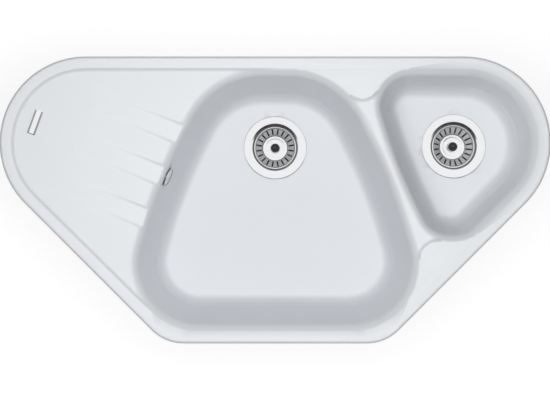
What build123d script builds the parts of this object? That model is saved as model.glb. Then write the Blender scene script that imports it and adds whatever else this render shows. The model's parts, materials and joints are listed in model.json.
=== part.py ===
from build123d import *
import os
from dataclasses import dataclass
from math import acos, atan2, cos, degrees, hypot, pi, radians, sin, sqrt, tan

# Corner kitchen sink, in millimetres. X runs to the right and Y to the rear, seen from above with the
# drainer on the left. Z points up from the worktop, on which the underside of the rim rests at Z = 0.

# ---------------------------------------------------------------- body, seen from above
OVERALL_WIDTH = 960.0
OVERALL_DEPTH = 500.0
WIDTH_SHARE = OVERALL_WIDTH / 960.0  # places along X move with the width by this share
DEPTH_SHARE = OVERALL_DEPTH / 500.0  # and places along Y with the depth
REAR_CORNER_R = 150.0
FRONT_CORNER_R = 78.0
RIM_WIDTH = 20.0
FLARE = 14.0  # from the inner edge of the rim to the steep wall of a bowl

MAIN_SHOULDER_R = 139.8
MAIN_SHOULDER_X = 21.5 * WIDTH_SHARE  # centre of each rear corner of the main bowl, from the middle
MAIN_FOOT_R = 105.7
MAIN_FOOT_X = 132.5 * WIDTH_SHARE
MAIN_SIDE_R = 982.0  # the sides swell by this radius

SMALL_SHOULDER_R = 51.5
SMALL_SHOULDER_X = 237.0 * WIDTH_SHARE
SMALL_TIP_R = 49.0
SMALL_TIP_X = 313.754 * WIDTH_SHARE
SMALL_TIP_FLAT = 9.0
SMALL_SIDE_R = 984.0

REAR_NOTCH_R = 30.0  # the tap ledge ends in this radius between the bowls
FRONT_NOTCH_R = 33.0

# ---------------------------------------------------------------- body, seen from the side
RIM_TOP = 8.0
RIM_EDGE_R = 5.0
PLATEAU_DROP = 4.0  # the drainer and the divider lie this far below the rim
SLOPE_DROP = 9.0  # the 45 degree inner slope of the rim goes down this far
FADE_R = 10.0  # hollow at the foot of that slope
LIP_R = 16.5
DRAFT = 8.0  # degrees
BOWL_FOOT_R = 24.0
MAIN_DEPTH = 200.0
SMALL_DEPTH = 130.0
WALL = 8.0
SEAT_WIDTH = 14.0
SKIRT_DEPTH = 4.0

CHANNEL_COUNT = 3
CHANNEL_WIDTH = 40.0
CHANNEL_PITCH = 79.0
CHANNEL_DEPTH = 2.6
CHANNEL_EDGE_R = 12.0
CHANNEL_LENGTH = 190.0
CHANNEL_TURN = -22.2  # degrees from the rear edge
CHANNEL_START_X = -322.0 * WIDTH_SHARE
CHANNEL_START_Y = 178.0 * DEPTH_SHARE

RIB_THICKNESS = 6.0
RIB_DEPTH = 12.0
RIB_LENGTH = 120.0
RIB_COUNT = 3
RIB_PITCH = 45.0
RIB_MIDDLE_X = -305.0 * WIDTH_SHARE
RIB_MIDDLE_Y = 110.0 * DEPTH_SHARE

TAP_HOLE_R = 17.5
TAP_SKIN = 3.0  # knocked out when a tap is fitted

# ---------------------------------------------------------------- strainers, from the bowl floor down
MAIN_DRAIN_X = 0.0
MAIN_DRAIN_Y = 95.0 * DEPTH_SHARE
SMALL_DRAIN_X = 320.0 * WIDTH_SHARE
SMALL_DRAIN_Y = 96.0 * DEPTH_SHARE
FLANGE_R = 57.0
FLANGE_THICKNESS = 1.2
CUP_GASKET_THICKNESS = 1.5
SEAM = 0.6  # round the flange
HOLE_R = 45.5
CUP_SHEET = 1.2
CUP_MOUTH_R = 42.5
CUP_ROLL_R = 3.0
LEDGE_DEPTH = 12.0
LEDGE_R = 39.0
LEDGE_WIDTH = 2.5
CUP_DEPTH = 54.0
CUP_FLOOR_R = 33.0
CUP_CORNER_R = 4.0
CUP_OUTLET_R = 17.5
SPIDER_HUB_R = 6.5
SPIDER_ARM = 5.0

RUN_GAP = 0.3  # between parts that move against each other
SHAFT_GAP = 0.08  # round a shaft in its hole
BASKET_SHEET = 0.9
BASKET_RIM_HEIGHT = 2.0
BASKET_DEPTH = 40.0
BASKET_FLOOR_R = 22.5
SLOT_COUNT = 20
SLOT_WIDTH = 2.4
SLOT_MARGIN = 1.6

STEM_R = 3.0
BUSH_BARREL_R = 4.9
BUSH_FLANGE_R = 8.0
BUSH_FLANGE_THICKNESS = 1.2
BUSH_RING_R = 8.6
BUSH_RING_THICKNESS = 0.8
BUSH_STAND = 1.1
KNOB_HEAD_R = 8.0
KNOB_NECK_R = 4.6
KNOB_FOOT_R = 7.6
KNOB_HEIGHT = 26.0
KNOB_DOME = 6.0
KNOB_SOCKET = 12.0
STOPPER_R = 23.0
STOPPER_THICKNESS = 1.5
SEAL_THICKNESS = 4.0
SEAL_WIDTH = 4.0

WASTE_GASKET_THICKNESS = 3.0
WASTE_FLANGE_R = 57.0
WASTE_FLANGE_THICKNESS = 4.0
WASTE_WALL = 3.0
WASTE_BORE_R = 46.4
WASTE_STRAIGHT = 36.0
WASTE_CONE = 30.0
OUTLET_R = 23.9
OUTLET_BORE_R = 20.0
OUTLET_LENGTH = 34.0
BOLT_R = 3.0
BOLT_HEAD_R = 5.0
BOLT_HEAD_HEIGHT = 3.0
NUT_R = 6.0
NUT_HEIGHT = 8.0
NUT_DROP = 22.0  # from the cup's floor to the nut
WASTE_HUB_R = 9.0
WASTE_RIB = 4.0

# ---------------------------------------------------------------- overflow
OVERFLOW_Y = 41.0 * DEPTH_SHARE
OVERFLOW_DEPTH = 38.0
OVERFLOW_HOLE_R = 13.0
COVER_R = 17.5
COVER_THICKNESS = 1.6
COVER_EDGE = 0.8
COVER_RIDGE_R = 12.6  # round the dished middle
COVER_RIDGE = 0.5
COVER_STAND = 2.4
COVER_FOOT_R = 1.5
COVER_FOOT_CIRCLE_R = 15.2
COVER_FOOT_EASE = 0.15  # the wall behind the cover is hollow, so its feet are this much shorter
OVERFLOW_SCREW_R = 2.0
OVERFLOW_SCREW_HEAD_R = 4.2
OVERFLOW_SCREW_HEAD_HEIGHT = 1.8
OVERFLOW_GASKET_THICKNESS = 2.0
ELBOW_FLANGE_R = 19.0
ELBOW_FLANGE_THICKNESS = 3.0
ELBOW_BORE_R = 12.0
ELBOW_WALL = 2.4
ELBOW_DEPTH = 26.0
ELBOW_BOSS_R = 4.5
SOCKET_WALL = 2.2
SOCKET_LENGTH = 16.0
PIPE_R = 10.0
PIPE_WALL = 1.8
PIPE_BEND_R = 32.0
PORT_DROP = 30.0  # from the bowl floor to the axis of the port in the waste body
PORT_REACH = 22.0
NUT_RING_WALL = 3.0
NUT_RING_LENGTH = 12.0
NUT_RING_SIDES = 12

# ---------------------------------------------------------------- clamps
CLAMP_INSET = 7.0  # from the skirt's edge to the screw
CLAMP_SCREW_R = 2.5
CLAMP_SCREW_HEAD_R = 4.8
CLAMP_SCREW_HEAD_HEIGHT = 3.5
CLAMP_BOSS_R = 6.5
CLAMP_BOSS_DEPTH = 10.0
CLAMP_BITE = 11.0  # of the screw in its boss
CLAMP_SLEEVE_WALL = 2.0
CLAW_DROP = 42.0  # from the worktop's top to the claw
CLAW_THICKNESS = 2.5
CLAW_WIDTH = 13.0
CLAW_LENGTH = 38.0
CLAW_TOOTH = 5.0
CLAW_TOOTH_INSET = 2.2
CLAW_TOOTH_WIDTH = 6.5
REAR_CLAMPS_X = (-310.0 * WIDTH_SHARE, 0.0, 300.0 * WIDTH_SHARE)
FRONT_CLAMPS_X = (0.0,)
DIAGONAL_CLAMPS = (0.25, 0.8)  # places along each straight diagonal side

# ---------------------------------------------------------------- worked out from the sizes above
PLATEAU = RIM_TOP - PLATEAU_DROP
LIP_LOW = PLATEAU - LIP_R * (1 - sin(radians(DRAFT)))  # where the lip runs into the steep wall
MAIN_FLOOR = RIM_TOP - MAIN_DEPTH
SMALL_FLOOR = RIM_TOP - SMALL_DEPTH
BOWL_INSET = RIM_WIDTH + FLARE
RECESS_DEPTH = FLANGE_THICKNESS + CUP_GASKET_THICKNESS
CUT_MARGIN = 30.0  # cutting solids run this far past what they cut
UPWARDS = (Align.CENTER, Align.CENTER, Align.MIN)
DOWNWARDS = (Align.CENTER, Align.CENTER, Align.MAX)


@dataclass(frozen=True)
class Corner:
    """A round corner of an outline, met anticlockwise: its centre, its radius (negative where the outline
    turns inwards) and the radius by which the side after it swells (0 for a straight side)."""

    x: float
    y: float
    r: float
    side_r: float = 0.0

    def point(self, angle, grow):
        r = self.r + grow
        return Vector(self.x + r * cos(angle), self.y + r * sin(angle))


def side_between(a, b):
    """The directions in which the side from corner a to corner b leaves a and meets b, and its arc's
    centre as a corner, or None for a straight side."""
    apart = hypot(b.x - a.x, b.y - a.y)
    heading = atan2(b.y - a.y, b.x - a.x)
    if not a.side_r:
        angle = heading - acos(max(-1.0, min(1.0, (a.r - b.r) / apart)))
        return angle, angle, None
    along = ((a.side_r - a.r) ** 2 - (a.side_r - b.r) ** 2 + apart**2) / (2 * apart)
    aside = sqrt((a.side_r - a.r) ** 2 - along**2)
    x = a.x + along * cos(heading) - aside * sin(heading)
    y = a.y + along * sin(heading) + aside * cos(heading)
    return atan2(a.y - y, a.x - x), atan2(b.y - y, b.x - x), Corner(x, y, a.side_r)


def outline(corners, grow=0.0):
    """The face inside tangent arcs round the corners and the sides between them, grown by an offset."""
    following = corners[1:] + corners[:1]
    sides = [side_between(a, b) for a, b in zip(corners, following)]
    starts = [c.point(sides[i - 1][1], grow) for i, c in enumerate(corners)]
    edges = []
    for i, corner in enumerate(corners):
        arrive = sides[i - 1][1]
        leave, meet, swell = sides[i]
        turn = (leave - arrive) % (2 * pi)
        if corner.r < 0:
            turn -= 2 * pi
        end = corner.point(leave, grow)
        next_start = starts[(i + 1) % len(corners)]
        direct = (next_start - end).length < 0.01
        if direct:
            end = next_start
        edges.append(ThreePointArc(starts[i], corner.point(arrive + turn / 2, grow), end))
        if swell:
            middle = leave + ((meet - leave) % (2 * pi)) / 2
            edges.append(ThreePointArc(end, swell.point(middle, grow), next_start))
        elif not direct:
            edges.append(Line(end, next_start))
    return make_face(edges)


def notch_between(a, b, radius):
    """The corner that turns inwards between a and b and touches both, on the right of the way to b."""
    reach_a = a.r + radius
    reach_b = b.r + radius
    apart = hypot(b.x - a.x, b.y - a.y)
    heading = atan2(b.y - a.y, b.x - a.x)
    along = (reach_a**2 - reach_b**2 + apart**2) / (2 * apart)
    aside = sqrt(reach_a**2 - along**2)
    x = a.x + along * cos(heading) + aside * sin(heading)
    y = a.y + along * sin(heading) - aside * cos(heading)
    return Corner(x, y, -radius)


def flared(corner):
    return Corner(corner.x, corner.y, corner.r + FLARE)


def diagonal_lead(radius, inset):
    """How far X leads Y at the centre of a corner that lies against the right diagonal side, at an inset."""
    return REAR_X - REAR_Y + (REAR_CORNER_R - inset - radius) * sqrt(2)


REAR_X = OVERALL_WIDTH / 2 - REAR_CORNER_R
REAR_Y = OVERALL_DEPTH / 2 - REAR_CORNER_R
FRONT_Y = FRONT_CORNER_R - OVERALL_DEPTH / 2
FRONT_X = FRONT_Y + diagonal_lead(FRONT_CORNER_R, 0)
DECK = [
    Corner(-REAR_X, REAR_Y, REAR_CORNER_R),
    Corner(-FRONT_X, FRONT_Y, FRONT_CORNER_R),
    Corner(FRONT_X, FRONT_Y, FRONT_CORNER_R),
    Corner(REAR_X, REAR_Y, REAR_CORNER_R),
]
BOWL_REAR = OVERALL_DEPTH / 2 - BOWL_INSET
MAIN_BOWL = [
    Corner(-MAIN_SHOULDER_X, BOWL_REAR - MAIN_SHOULDER_R, MAIN_SHOULDER_R, MAIN_SIDE_R),
    Corner(-MAIN_FOOT_X, MAIN_FOOT_R - BOWL_REAR, MAIN_FOOT_R),
    Corner(MAIN_FOOT_X, MAIN_FOOT_R - BOWL_REAR, MAIN_FOOT_R, MAIN_SIDE_R),
    Corner(MAIN_SHOULDER_X, BOWL_REAR - MAIN_SHOULDER_R, MAIN_SHOULDER_R),
]
SMALL_TIP_Y = SMALL_TIP_X - diagonal_lead(SMALL_TIP_R, BOWL_INSET)
SMALL_BOWL = [
    Corner(REAR_X, REAR_Y, REAR_CORNER_R - BOWL_INSET),
    Corner(SMALL_SHOULDER_X, BOWL_REAR - SMALL_SHOULDER_R, SMALL_SHOULDER_R, SMALL_SIDE_R),
    Corner(SMALL_TIP_X - SMALL_TIP_FLAT, SMALL_TIP_Y, SMALL_TIP_R),
    Corner(SMALL_TIP_X, SMALL_TIP_Y, SMALL_TIP_R),
]
REAR_NOTCH = notch_between(flared(SMALL_BOWL[1]), flared(MAIN_BOWL[3]), REAR_NOTCH_R)
FRONT_NOTCH = notch_between(flared(MAIN_BOWL[2]), flared(SMALL_BOWL[2]), FRONT_NOTCH_R)
BASIN = [
    Corner(-REAR_X, REAR_Y, REAR_CORNER_R - RIM_WIDTH),
    flared(MAIN_BOWL[1]),
    flared(MAIN_BOWL[2]),
    FRONT_NOTCH,
    flared(SMALL_BOWL[2]),
    flared(SMALL_BOWL[3]),
    flared(SMALL_BOWL[0]),
    flared(SMALL_BOWL[1]),
    REAR_NOTCH,
    flared(MAIN_BOWL[3]),
]


def at_height(face, z):
    return Pos(0, 0, z) * face


def drafted(corners, top, bottom, offset):
    """A solid that narrows downwards by the draft, at an offset from a bowl's steep wall."""
    grow = (top - LIP_LOW) * tan(radians(DRAFT)) + offset
    rising = extrude(outline(corners, grow), top - bottom, taper=DRAFT)
    return at_height(mirror(rising, about=Plane.XY), top)


def round_foot(solid, radius):
    return fillet(solid.edges().group_by(Axis.Z)[0], radius)


def bowl_space(corners, floor):
    """What a bowl takes out of the body: its drafted hollow, rounded at the foot and at the lip."""
    margin_size = (OVERALL_WIDTH + CUT_MARGIN, OVERALL_DEPTH + CUT_MARGIN, CUT_MARGIN)
    above = at_height(Box(*margin_size, align=UPWARDS), PLATEAU)
    space = above + round_foot(drafted(corners, PLATEAU, floor, 0), BOWL_FOOT_R)
    half_width = OVERALL_WIDTH / 2
    inside = [e for e in space.edges().filter_by_position(Axis.X, -half_width, half_width)]
    lip = [e for e in inside if abs(e.bounding_box().min.Z - PLATEAU) < 0.001]
    lip = [e for e in lip if abs(e.bounding_box().max.Z - PLATEAU) < 0.001]
    lip = [e for e in lip if e.bounding_box().max.Y < OVERALL_DEPTH / 2]
    lip = [e for e in lip if e.bounding_box().min.Y > -OVERALL_DEPTH / 2]
    return fillet(lip, LIP_R)


def basin_space():
    """What is taken out of the body above the drainer, the divider and the bowls, inside the rim."""
    rim_opening = at_height(extrude(outline(BASIN), SLOPE_DROP + CUT_MARGIN), RIM_TOP - SLOPE_DROP)
    rim_opening = chamfer(rim_opening.edges().group_by(Axis.Z)[0], SLOPE_DROP)
    depth = MAIN_DEPTH + CUT_MARGIN
    below_size = (OVERALL_WIDTH + CUT_MARGIN, OVERALL_DEPTH + CUT_MARGIN, depth)
    below = Box(*below_size, align=DOWNWARDS)
    bowls = bowl_space(MAIN_BOWL, MAIN_FLOOR) + bowl_space(SMALL_BOWL, SMALL_FLOOR)
    return bowls & (rim_opening + at_height(below, RIM_TOP - SLOPE_DROP))


def fade_rim_slope(body):
    """Round the hollow at the foot of the rim's slope, all the way round the basin."""
    slopes = []
    for face in body.faces():
        box = face.bounding_box()
        reaches_rim = box.max.Z > RIM_TOP - 0.01 and box.min.Z > RIM_TOP - SLOPE_DROP - 1
        if reaches_rim and abs(abs(face.normal_at().Z) - sqrt(0.5)) < 0.05:
            slopes.append(face)
    lower = [e for f in slopes for e in f.edges() if e.bounding_box().max.Z < RIM_TOP - 0.01]
    chain = [e for e in lower if sum(e.is_same(other) for other in lower) == 1]
    return fillet(chain, FADE_R)


def drainer_channels():
    """Shallow troughs with hollow edges that deepen from nothing towards the main bowl."""
    flat = CHANNEL_WIDTH / 2 - sqrt(CHANNEL_EDGE_R**2 - (CHANNEL_EDGE_R - CHANNEL_DEPTH) ** 2)
    half = CHANNEL_WIDTH / 2
    up = CHANNEL_DEPTH
    section = make_face(
        [
            Line((-flat, 0), (flat, 0)),
            TangentArc((flat, 0), (half, up), tangent=(1, 0)),
            Line((half, up), (half, up + CUT_MARGIN)),
            Line((half, up + CUT_MARGIN), (-half, up + CUT_MARGIN)),
            Line((-half, up + CUT_MARGIN), (-half, up)),
            TangentArc((-flat, 0), (-half, up), tangent=(-1, 0)),
        ]
    )
    fall = degrees(atan2(CHANNEL_DEPTH, CHANNEL_LENGTH))
    trough = extrude(Plane.YZ * section, CHANNEL_LENGTH + CUT_MARGIN)
    trough = Pos(0, 0, PLATEAU) * Rot(0, fall, 0) * trough
    channels = Part()
    start = Pos(CHANNEL_START_X, CHANNEL_START_Y) * Rot(0, 0, CHANNEL_TURN)
    for i in range(CHANNEL_COUNT):
        channels += start * Pos(0, -i * CHANNEL_PITCH) * trough
    return channels


def drain_hole(x, y, floor):
    """The recess for the strainer's flange and the hole below it."""
    recess = Cylinder(FLANGE_R + SEAM, RECESS_DEPTH + CUT_MARGIN, align=UPWARDS)
    hole = Cylinder(HOLE_R, WALL + CUT_MARGIN, align=DOWNWARDS)
    return Pos(x, y, floor - RECESS_DEPTH) * (recess + hole)


# ---------------------------------------------------------------- places that several parts share
def overflow_plane():
    """On the left wall of the main bowl, facing into the bowl."""
    leave, meet, swell = side_between(MAIN_BOWL[0], MAIN_BOWL[1])
    z = RIM_TOP - OVERFLOW_DEPTH
    wall_r = swell.r + (z - LIP_LOW) * tan(radians(DRAFT))
    out_x = -sqrt(wall_r**2 - (OVERFLOW_Y - swell.y) ** 2) / wall_r
    out_y = (OVERFLOW_Y - swell.y) / wall_r
    lean = radians(DRAFT)
    facing = (-out_x * cos(lean), -out_y * cos(lean), sin(lean))
    origin = (swell.x + out_x * wall_r, OVERFLOW_Y, z)
    return Plane(origin=origin, x_dir=(-out_y, out_x, 0), z_dir=facing)


OVERFLOW = overflow_plane()


@dataclass(frozen=True)
class Clamp:
    """A clamp's screw, and the direction of the rim's edge beside it, in degrees."""

    x: float
    y: float
    along: float


def clamp_places():
    """Screws just inside the skirt, with claws that lie along the edge when they are folded."""
    inset = SEAT_WIDTH + CLAMP_INSET
    half_depth = OVERALL_DEPTH / 2 - inset
    places = [Clamp(x, half_depth, 180.0) for x in REAR_CLAMPS_X]
    places += [Clamp(x, -half_depth, 0.0) for x in FRONT_CLAMPS_X]
    for first, last in ((DECK[0], DECK[1]), (DECK[2], DECK[3])):
        leave, meet, swell = side_between(first, last)
        start = first.point(leave, -inset)
        end = last.point(meet, -inset)
        for share in DIAGONAL_CLAMPS:
            spot = start + (end - start) * share
            places.append(Clamp(spot.X, spot.Y, degrees(leave) + 90))
    return places


CLAMPS = clamp_places()


# ---------------------------------------------------------------- sink body
def sink_body():
    rim = extrude(outline(DECK), RIM_TOP)
    rim = fillet(rim.edges().group_by(Axis.Z)[-1], RIM_EDGE_R)
    skirt = at_height(extrude(outline(DECK, -SEAT_WIDTH), SKIRT_DEPTH), -SKIRT_DEPTH)
    shell_offset = WALL / cos(radians(DRAFT))
    shell_top = -SKIRT_DEPTH / 2
    main_shell = drafted(MAIN_BOWL, shell_top, MAIN_FLOOR - WALL, shell_offset)
    small_shell = drafted(SMALL_BOWL, shell_top, SMALL_FLOOR - WALL, shell_offset)
    body = rim + skirt + round_foot(main_shell, BOWL_FOOT_R) + round_foot(small_shell, BOWL_FOOT_R)
    rib_size = (RIB_LENGTH, RIB_THICKNESS, RIB_DEPTH)
    rib = Box(*rib_size, align=DOWNWARDS)
    ribs_middle = Pos(RIB_MIDDLE_X, RIB_MIDDLE_Y, -SKIRT_DEPTH) * Rot(0, 0, CHANNEL_TURN)
    for i in range(RIB_COUNT):
        body += ribs_middle * Pos(0, (i - (RIB_COUNT - 1) / 2) * RIB_PITCH) * rib
    for clamp in CLAMPS:
        boss = Cylinder(CLAMP_BOSS_R, CLAMP_BOSS_DEPTH, align=DOWNWARDS)
        body += Pos(clamp.x, clamp.y, -SKIRT_DEPTH / 2) * boss
    body -= basin_space()
    body = fade_rim_slope(body)
    body -= drainer_channels()
    body -= drain_hole(MAIN_DRAIN_X, MAIN_DRAIN_Y, MAIN_FLOOR)
    body -= drain_hole(SMALL_DRAIN_X, SMALL_DRAIN_Y, SMALL_FLOOR)
    for notch in (REAR_NOTCH, FRONT_NOTCH):
        knock_out = Cylinder(TAP_HOLE_R, CUT_MARGIN, align=DOWNWARDS)
        body -= Pos(notch.x, notch.y, RIM_TOP - TAP_SKIN) * knock_out
    for clamp in CLAMPS:
        pilot = Cylinder(CLAMP_SCREW_R, CLAMP_BITE + CUT_MARGIN, align=DOWNWARDS)
        body -= Pos(clamp.x, clamp.y, CLAMP_BITE - CLAMP_BOSS_DEPTH - SKIRT_DEPTH / 2) * pilot
    return body - OVERFLOW.location * Cylinder(OVERFLOW_HOLE_R, WALL + CUT_MARGIN)


# ---------------------------------------------------------------- strainer, with Z = 0 at the bowl's floor
def ring(outer, inner, top, bottom):
    solid = Cylinder(outer, top - bottom) - Cylinder(inner, top - bottom)
    return Pos(0, 0, (top + bottom) / 2) * solid


def turned(points, radii):
    """A solid of revolution about Z, from the corners of its section and their radii."""
    section = FilletPolyline(*points, radius=radii, close=True)
    return revolve(Plane.XZ * make_face(section.edges()), Axis.Z)


CUP_FLOOR = -CUP_DEPTH
CUP_GASKET_TOP = -FLANGE_THICKNESS
SINK_UNDERSIDE = -WALL
LEDGE_IN = LEDGE_R - LEDGE_WIDTH
BASKET_RIM_LOW = -LEDGE_DEPTH + RUN_GAP
BASKET_RIM_R = LEDGE_R - RUN_GAP
BASKET_FLOOR = -BASKET_DEPTH
BASKET_NECK_R = LEDGE_IN - RUN_GAP - BASKET_SHEET
BUSH_LOW = BASKET_FLOOR - BASKET_SHEET - BUSH_FLANGE_THICKNESS
BUSH_TOP = BASKET_FLOOR + BUSH_RING_THICKNESS + BUSH_STAND
SEAL_LOW = CUP_FLOOR + RUN_GAP
STOPPER_LOW = SEAL_LOW + SEAL_THICKNESS
STOPPER_TOP = STOPPER_LOW + STOPPER_THICKNESS
KNOB_LOW = BUSH_TOP + RUN_GAP
KNOB_TOP = KNOB_LOW + KNOB_HEIGHT
STEM_TRAVEL = BUSH_LOW - STOPPER_TOP - RUN_GAP
NUT_TOP = CUP_FLOOR - NUT_DROP
WASTE_TOP = SINK_UNDERSIDE - WASTE_GASKET_THICKNESS
WASTE_CONE_TOP = WASTE_TOP - WASTE_STRAIGHT
OUTLET_TOP = WASTE_CONE_TOP - WASTE_CONE
NECK_LOW = OUTLET_TOP - WASTE_WALL
OUTLET_END = OUTLET_TOP - OUTLET_LENGTH


def strainer_cup():
    sheet = CUP_SHEET
    points = [
        (FLANGE_R, 0),
        (CUP_MOUTH_R, 0),
        (LEDGE_R, -LEDGE_DEPTH),
        (LEDGE_IN, -LEDGE_DEPTH),
        (CUP_FLOOR_R, CUP_FLOOR),
        (CUP_OUTLET_R, CUP_FLOOR),
        (CUP_OUTLET_R, CUP_FLOOR - sheet),
        (CUP_FLOOR_R + sheet, CUP_FLOOR - sheet),
        (LEDGE_IN + sheet, -LEDGE_DEPTH - sheet),
        (LEDGE_R + sheet, -LEDGE_DEPTH - sheet),
        (CUP_MOUTH_R + sheet, -FLANGE_THICKNESS),
        (FLANGE_R, -FLANGE_THICKNESS),
    ]
    cup = turned(points, [0, CUP_ROLL_R, 0, 0, CUP_CORNER_R, 0, 0, 0, 0, 0, 0, 0])
    arm = Box(CUP_OUTLET_R + sheet, SPIDER_ARM, sheet, align=(Align.MIN, Align.CENTER, Align.MAX))
    for i in range(3):
        cup += Pos(0, 0, CUP_FLOOR) * Rot(0, 0, 90 + i * 120) * arm
    cup += Pos(0, 0, CUP_FLOOR) * Cylinder(SPIDER_HUB_R, sheet, align=DOWNWARDS)
    return cup - Pos(0, 0, CUP_FLOOR) * Cylinder(BOLT_R, 4 * sheet)


def cup_gasket():
    return ring(FLANGE_R - SEAM, HOLE_R, CUP_GASKET_TOP, -RECESS_DEPTH)


def strainer_basket():
    sheet = BASKET_SHEET
    rim_top = BASKET_RIM_LOW + BASKET_RIM_HEIGHT
    points = [
        (BASKET_RIM_R, BASKET_RIM_LOW),
        (BASKET_RIM_R, rim_top),
        (BASKET_NECK_R, rim_top),
        (BASKET_FLOOR_R, BASKET_FLOOR),
        (BUSH_BARREL_R, BASKET_FLOOR),
        (BUSH_BARREL_R, BASKET_FLOOR - sheet),
        (BASKET_FLOOR_R + sheet / 2, BASKET_FLOOR - sheet),
        (BASKET_NECK_R + sheet, BASKET_RIM_LOW),
    ]
    basket = turned(points, [0] * len(points))
    inner = BASKET_FLOOR_R + SLOT_MARGIN
    outer = BASKET_NECK_R - SLOT_MARGIN
    slot_size = (outer - inner, SLOT_WIDTH, 2 * BASKET_DEPTH)
    slot = Pos(inner, 0) * Box(*slot_size, align=(Align.MIN, Align.CENTER, Align.CENTER))
    step = 360 / SLOT_COUNT
    for i in range(SLOT_COUNT):
        basket -= Pos(0, 0, BASKET_FLOOR) * Rot(0, 0, (i + 0.5) * step) * slot
    return basket


def basket_bush():
    bore_r = STEM_R + SHAFT_GAP
    flange = ring(BUSH_FLANGE_R, bore_r, BASKET_FLOOR - BASKET_SHEET, BUSH_LOW)
    return flange + ring(BUSH_BARREL_R, bore_r, BUSH_TOP, BASKET_FLOOR - BASKET_SHEET)


def bush_ring():
    return ring(BUSH_RING_R, BUSH_BARREL_R, BASKET_FLOOR + BUSH_RING_THICKNESS, BASKET_FLOOR)


def stopper_stem():
    plate = Pos(0, 0, STOPPER_LOW) * Cylinder(STOPPER_R, STOPPER_THICKNESS, align=UPWARDS)
    length = KNOB_LOW + KNOB_SOCKET - STOPPER_TOP
    rod = Pos(0, 0, STOPPER_TOP) * Cylinder(STEM_R, length, align=UPWARDS)
    return plate + rod


def stopper_seal():
    return ring(STOPPER_R, STOPPER_R - SEAL_WIDTH, STOPPER_LOW, SEAL_LOW)


def pull_knob():
    """A mushroom knob: a domed head on a waisted neck, over a socket for the stem."""
    foot = (KNOB_FOOT_R, KNOB_LOW)
    brow = (KNOB_HEAD_R, KNOB_TOP - KNOB_DOME)
    waist = (KNOB_NECK_R, (foot[1] + brow[1]) / 2)
    section = [
        Line((0, KNOB_LOW), foot),
        ThreePointArc(foot, waist, brow),
        TangentArc((0, KNOB_TOP), brow, tangent=(1, 0)),
        Line((0, KNOB_TOP), (0, KNOB_LOW)),
    ]
    knob = revolve(Plane.XZ * make_face(section), Axis.Z)
    return knob - Pos(0, 0, KNOB_LOW) * Cylinder(STEM_R, 2 * KNOB_SOCKET)


def waste_gasket():
    return ring(WASTE_FLANGE_R, WASTE_BORE_R, SINK_UNDERSIDE, WASTE_TOP)


def waste_body():
    flange_low = WASTE_TOP - WASTE_FLANGE_THICKNESS
    outer = WASTE_BORE_R + WASTE_WALL
    points = [
        (WASTE_FLANGE_R, WASTE_TOP),
        (WASTE_BORE_R, WASTE_TOP),
        (WASTE_BORE_R, WASTE_CONE_TOP),
        (OUTLET_BORE_R, OUTLET_TOP),
        (OUTLET_BORE_R, NECK_LOW),
        (OUTLET_R, NECK_LOW),
        (outer, WASTE_CONE_TOP - WASTE_WALL),
        (outer, flange_low),
        (WASTE_FLANGE_R, flange_low),
    ]
    body = turned(points, [0] * len(points))
    hub_low = NUT_TOP - NUT_HEIGHT - WASTE_WALL
    hub = Pos(0, 0, hub_low) * Cylinder(WASTE_HUB_R, NUT_TOP - hub_low, align=UPWARDS)
    rib_length = OUTLET_BORE_R + (OUTLET_R - OUTLET_BORE_R) / 2
    rib = Box(rib_length, WASTE_RIB, NUT_HEIGHT, align=(Align.MIN, Align.CENTER, Align.MAX))
    for i in range(3):
        hub += Pos(0, 0, NUT_TOP) * Rot(0, 0, 90 + i * 120) * rib
    nut_pocket = Pos(0, 0, NUT_TOP) * Cylinder(NUT_R, NUT_HEIGHT, align=DOWNWARDS)
    bolt_hole = Pos(0, 0, NUT_TOP) * Cylinder(BOLT_R, 4 * NUT_HEIGHT)
    return body + (hub - nut_pocket - bolt_hole - outlet_tube())


def outlet_tube():
    """The tube for the trap, welded to the neck of the waste body and round the feet of its ribs."""
    return ring(OUTLET_R, OUTLET_BORE_R, NECK_LOW, OUTLET_END)


def waste_bolt():
    head = Pos(0, 0, CUP_FLOOR) * Cylinder(BOLT_HEAD_R, BOLT_HEAD_HEIGHT, align=UPWARDS)
    length = NUT_DROP + NUT_HEIGHT
    shank = Pos(0, 0, CUP_FLOOR) * Cylinder(BOLT_R, length, align=DOWNWARDS)
    return head + shank


def waste_nut():
    return ring(NUT_R, BOLT_R, NUT_TOP, NUT_TOP - NUT_HEIGHT)


# ---------------------------------------------------------------- overflow
WALL_BACK = -WALL
GASKET_BACK = WALL_BACK - OVERFLOW_GASKET_THICKNESS
ELBOW_END = GASKET_BACK - ELBOW_DEPTH
ELBOW_MIDDLE = GASKET_BACK - ELBOW_FLANGE_THICKNESS - ELBOW_BORE_R
ELBOW_CENTRE = OVERFLOW.from_local_coords(Vector(0, 0, ELBOW_MIDDLE))
SOCKET_R = PIPE_R + SOCKET_WALL
SOCKET_TOP_Z = ELBOW_CENTRE.Z - ELBOW_BORE_R - ELBOW_WALL / 2
SOCKET_END_Z = SOCKET_TOP_Z - SOCKET_LENGTH
PORT_Z = MAIN_FLOOR - PORT_DROP
PORT_WAY = Vector(ELBOW_CENTRE.X - MAIN_DRAIN_X, ELBOW_CENTRE.Y - MAIN_DRAIN_Y, 0).normalized()
PORT_MOUTH = WASTE_BORE_R + WASTE_WALL + PORT_REACH


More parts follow.
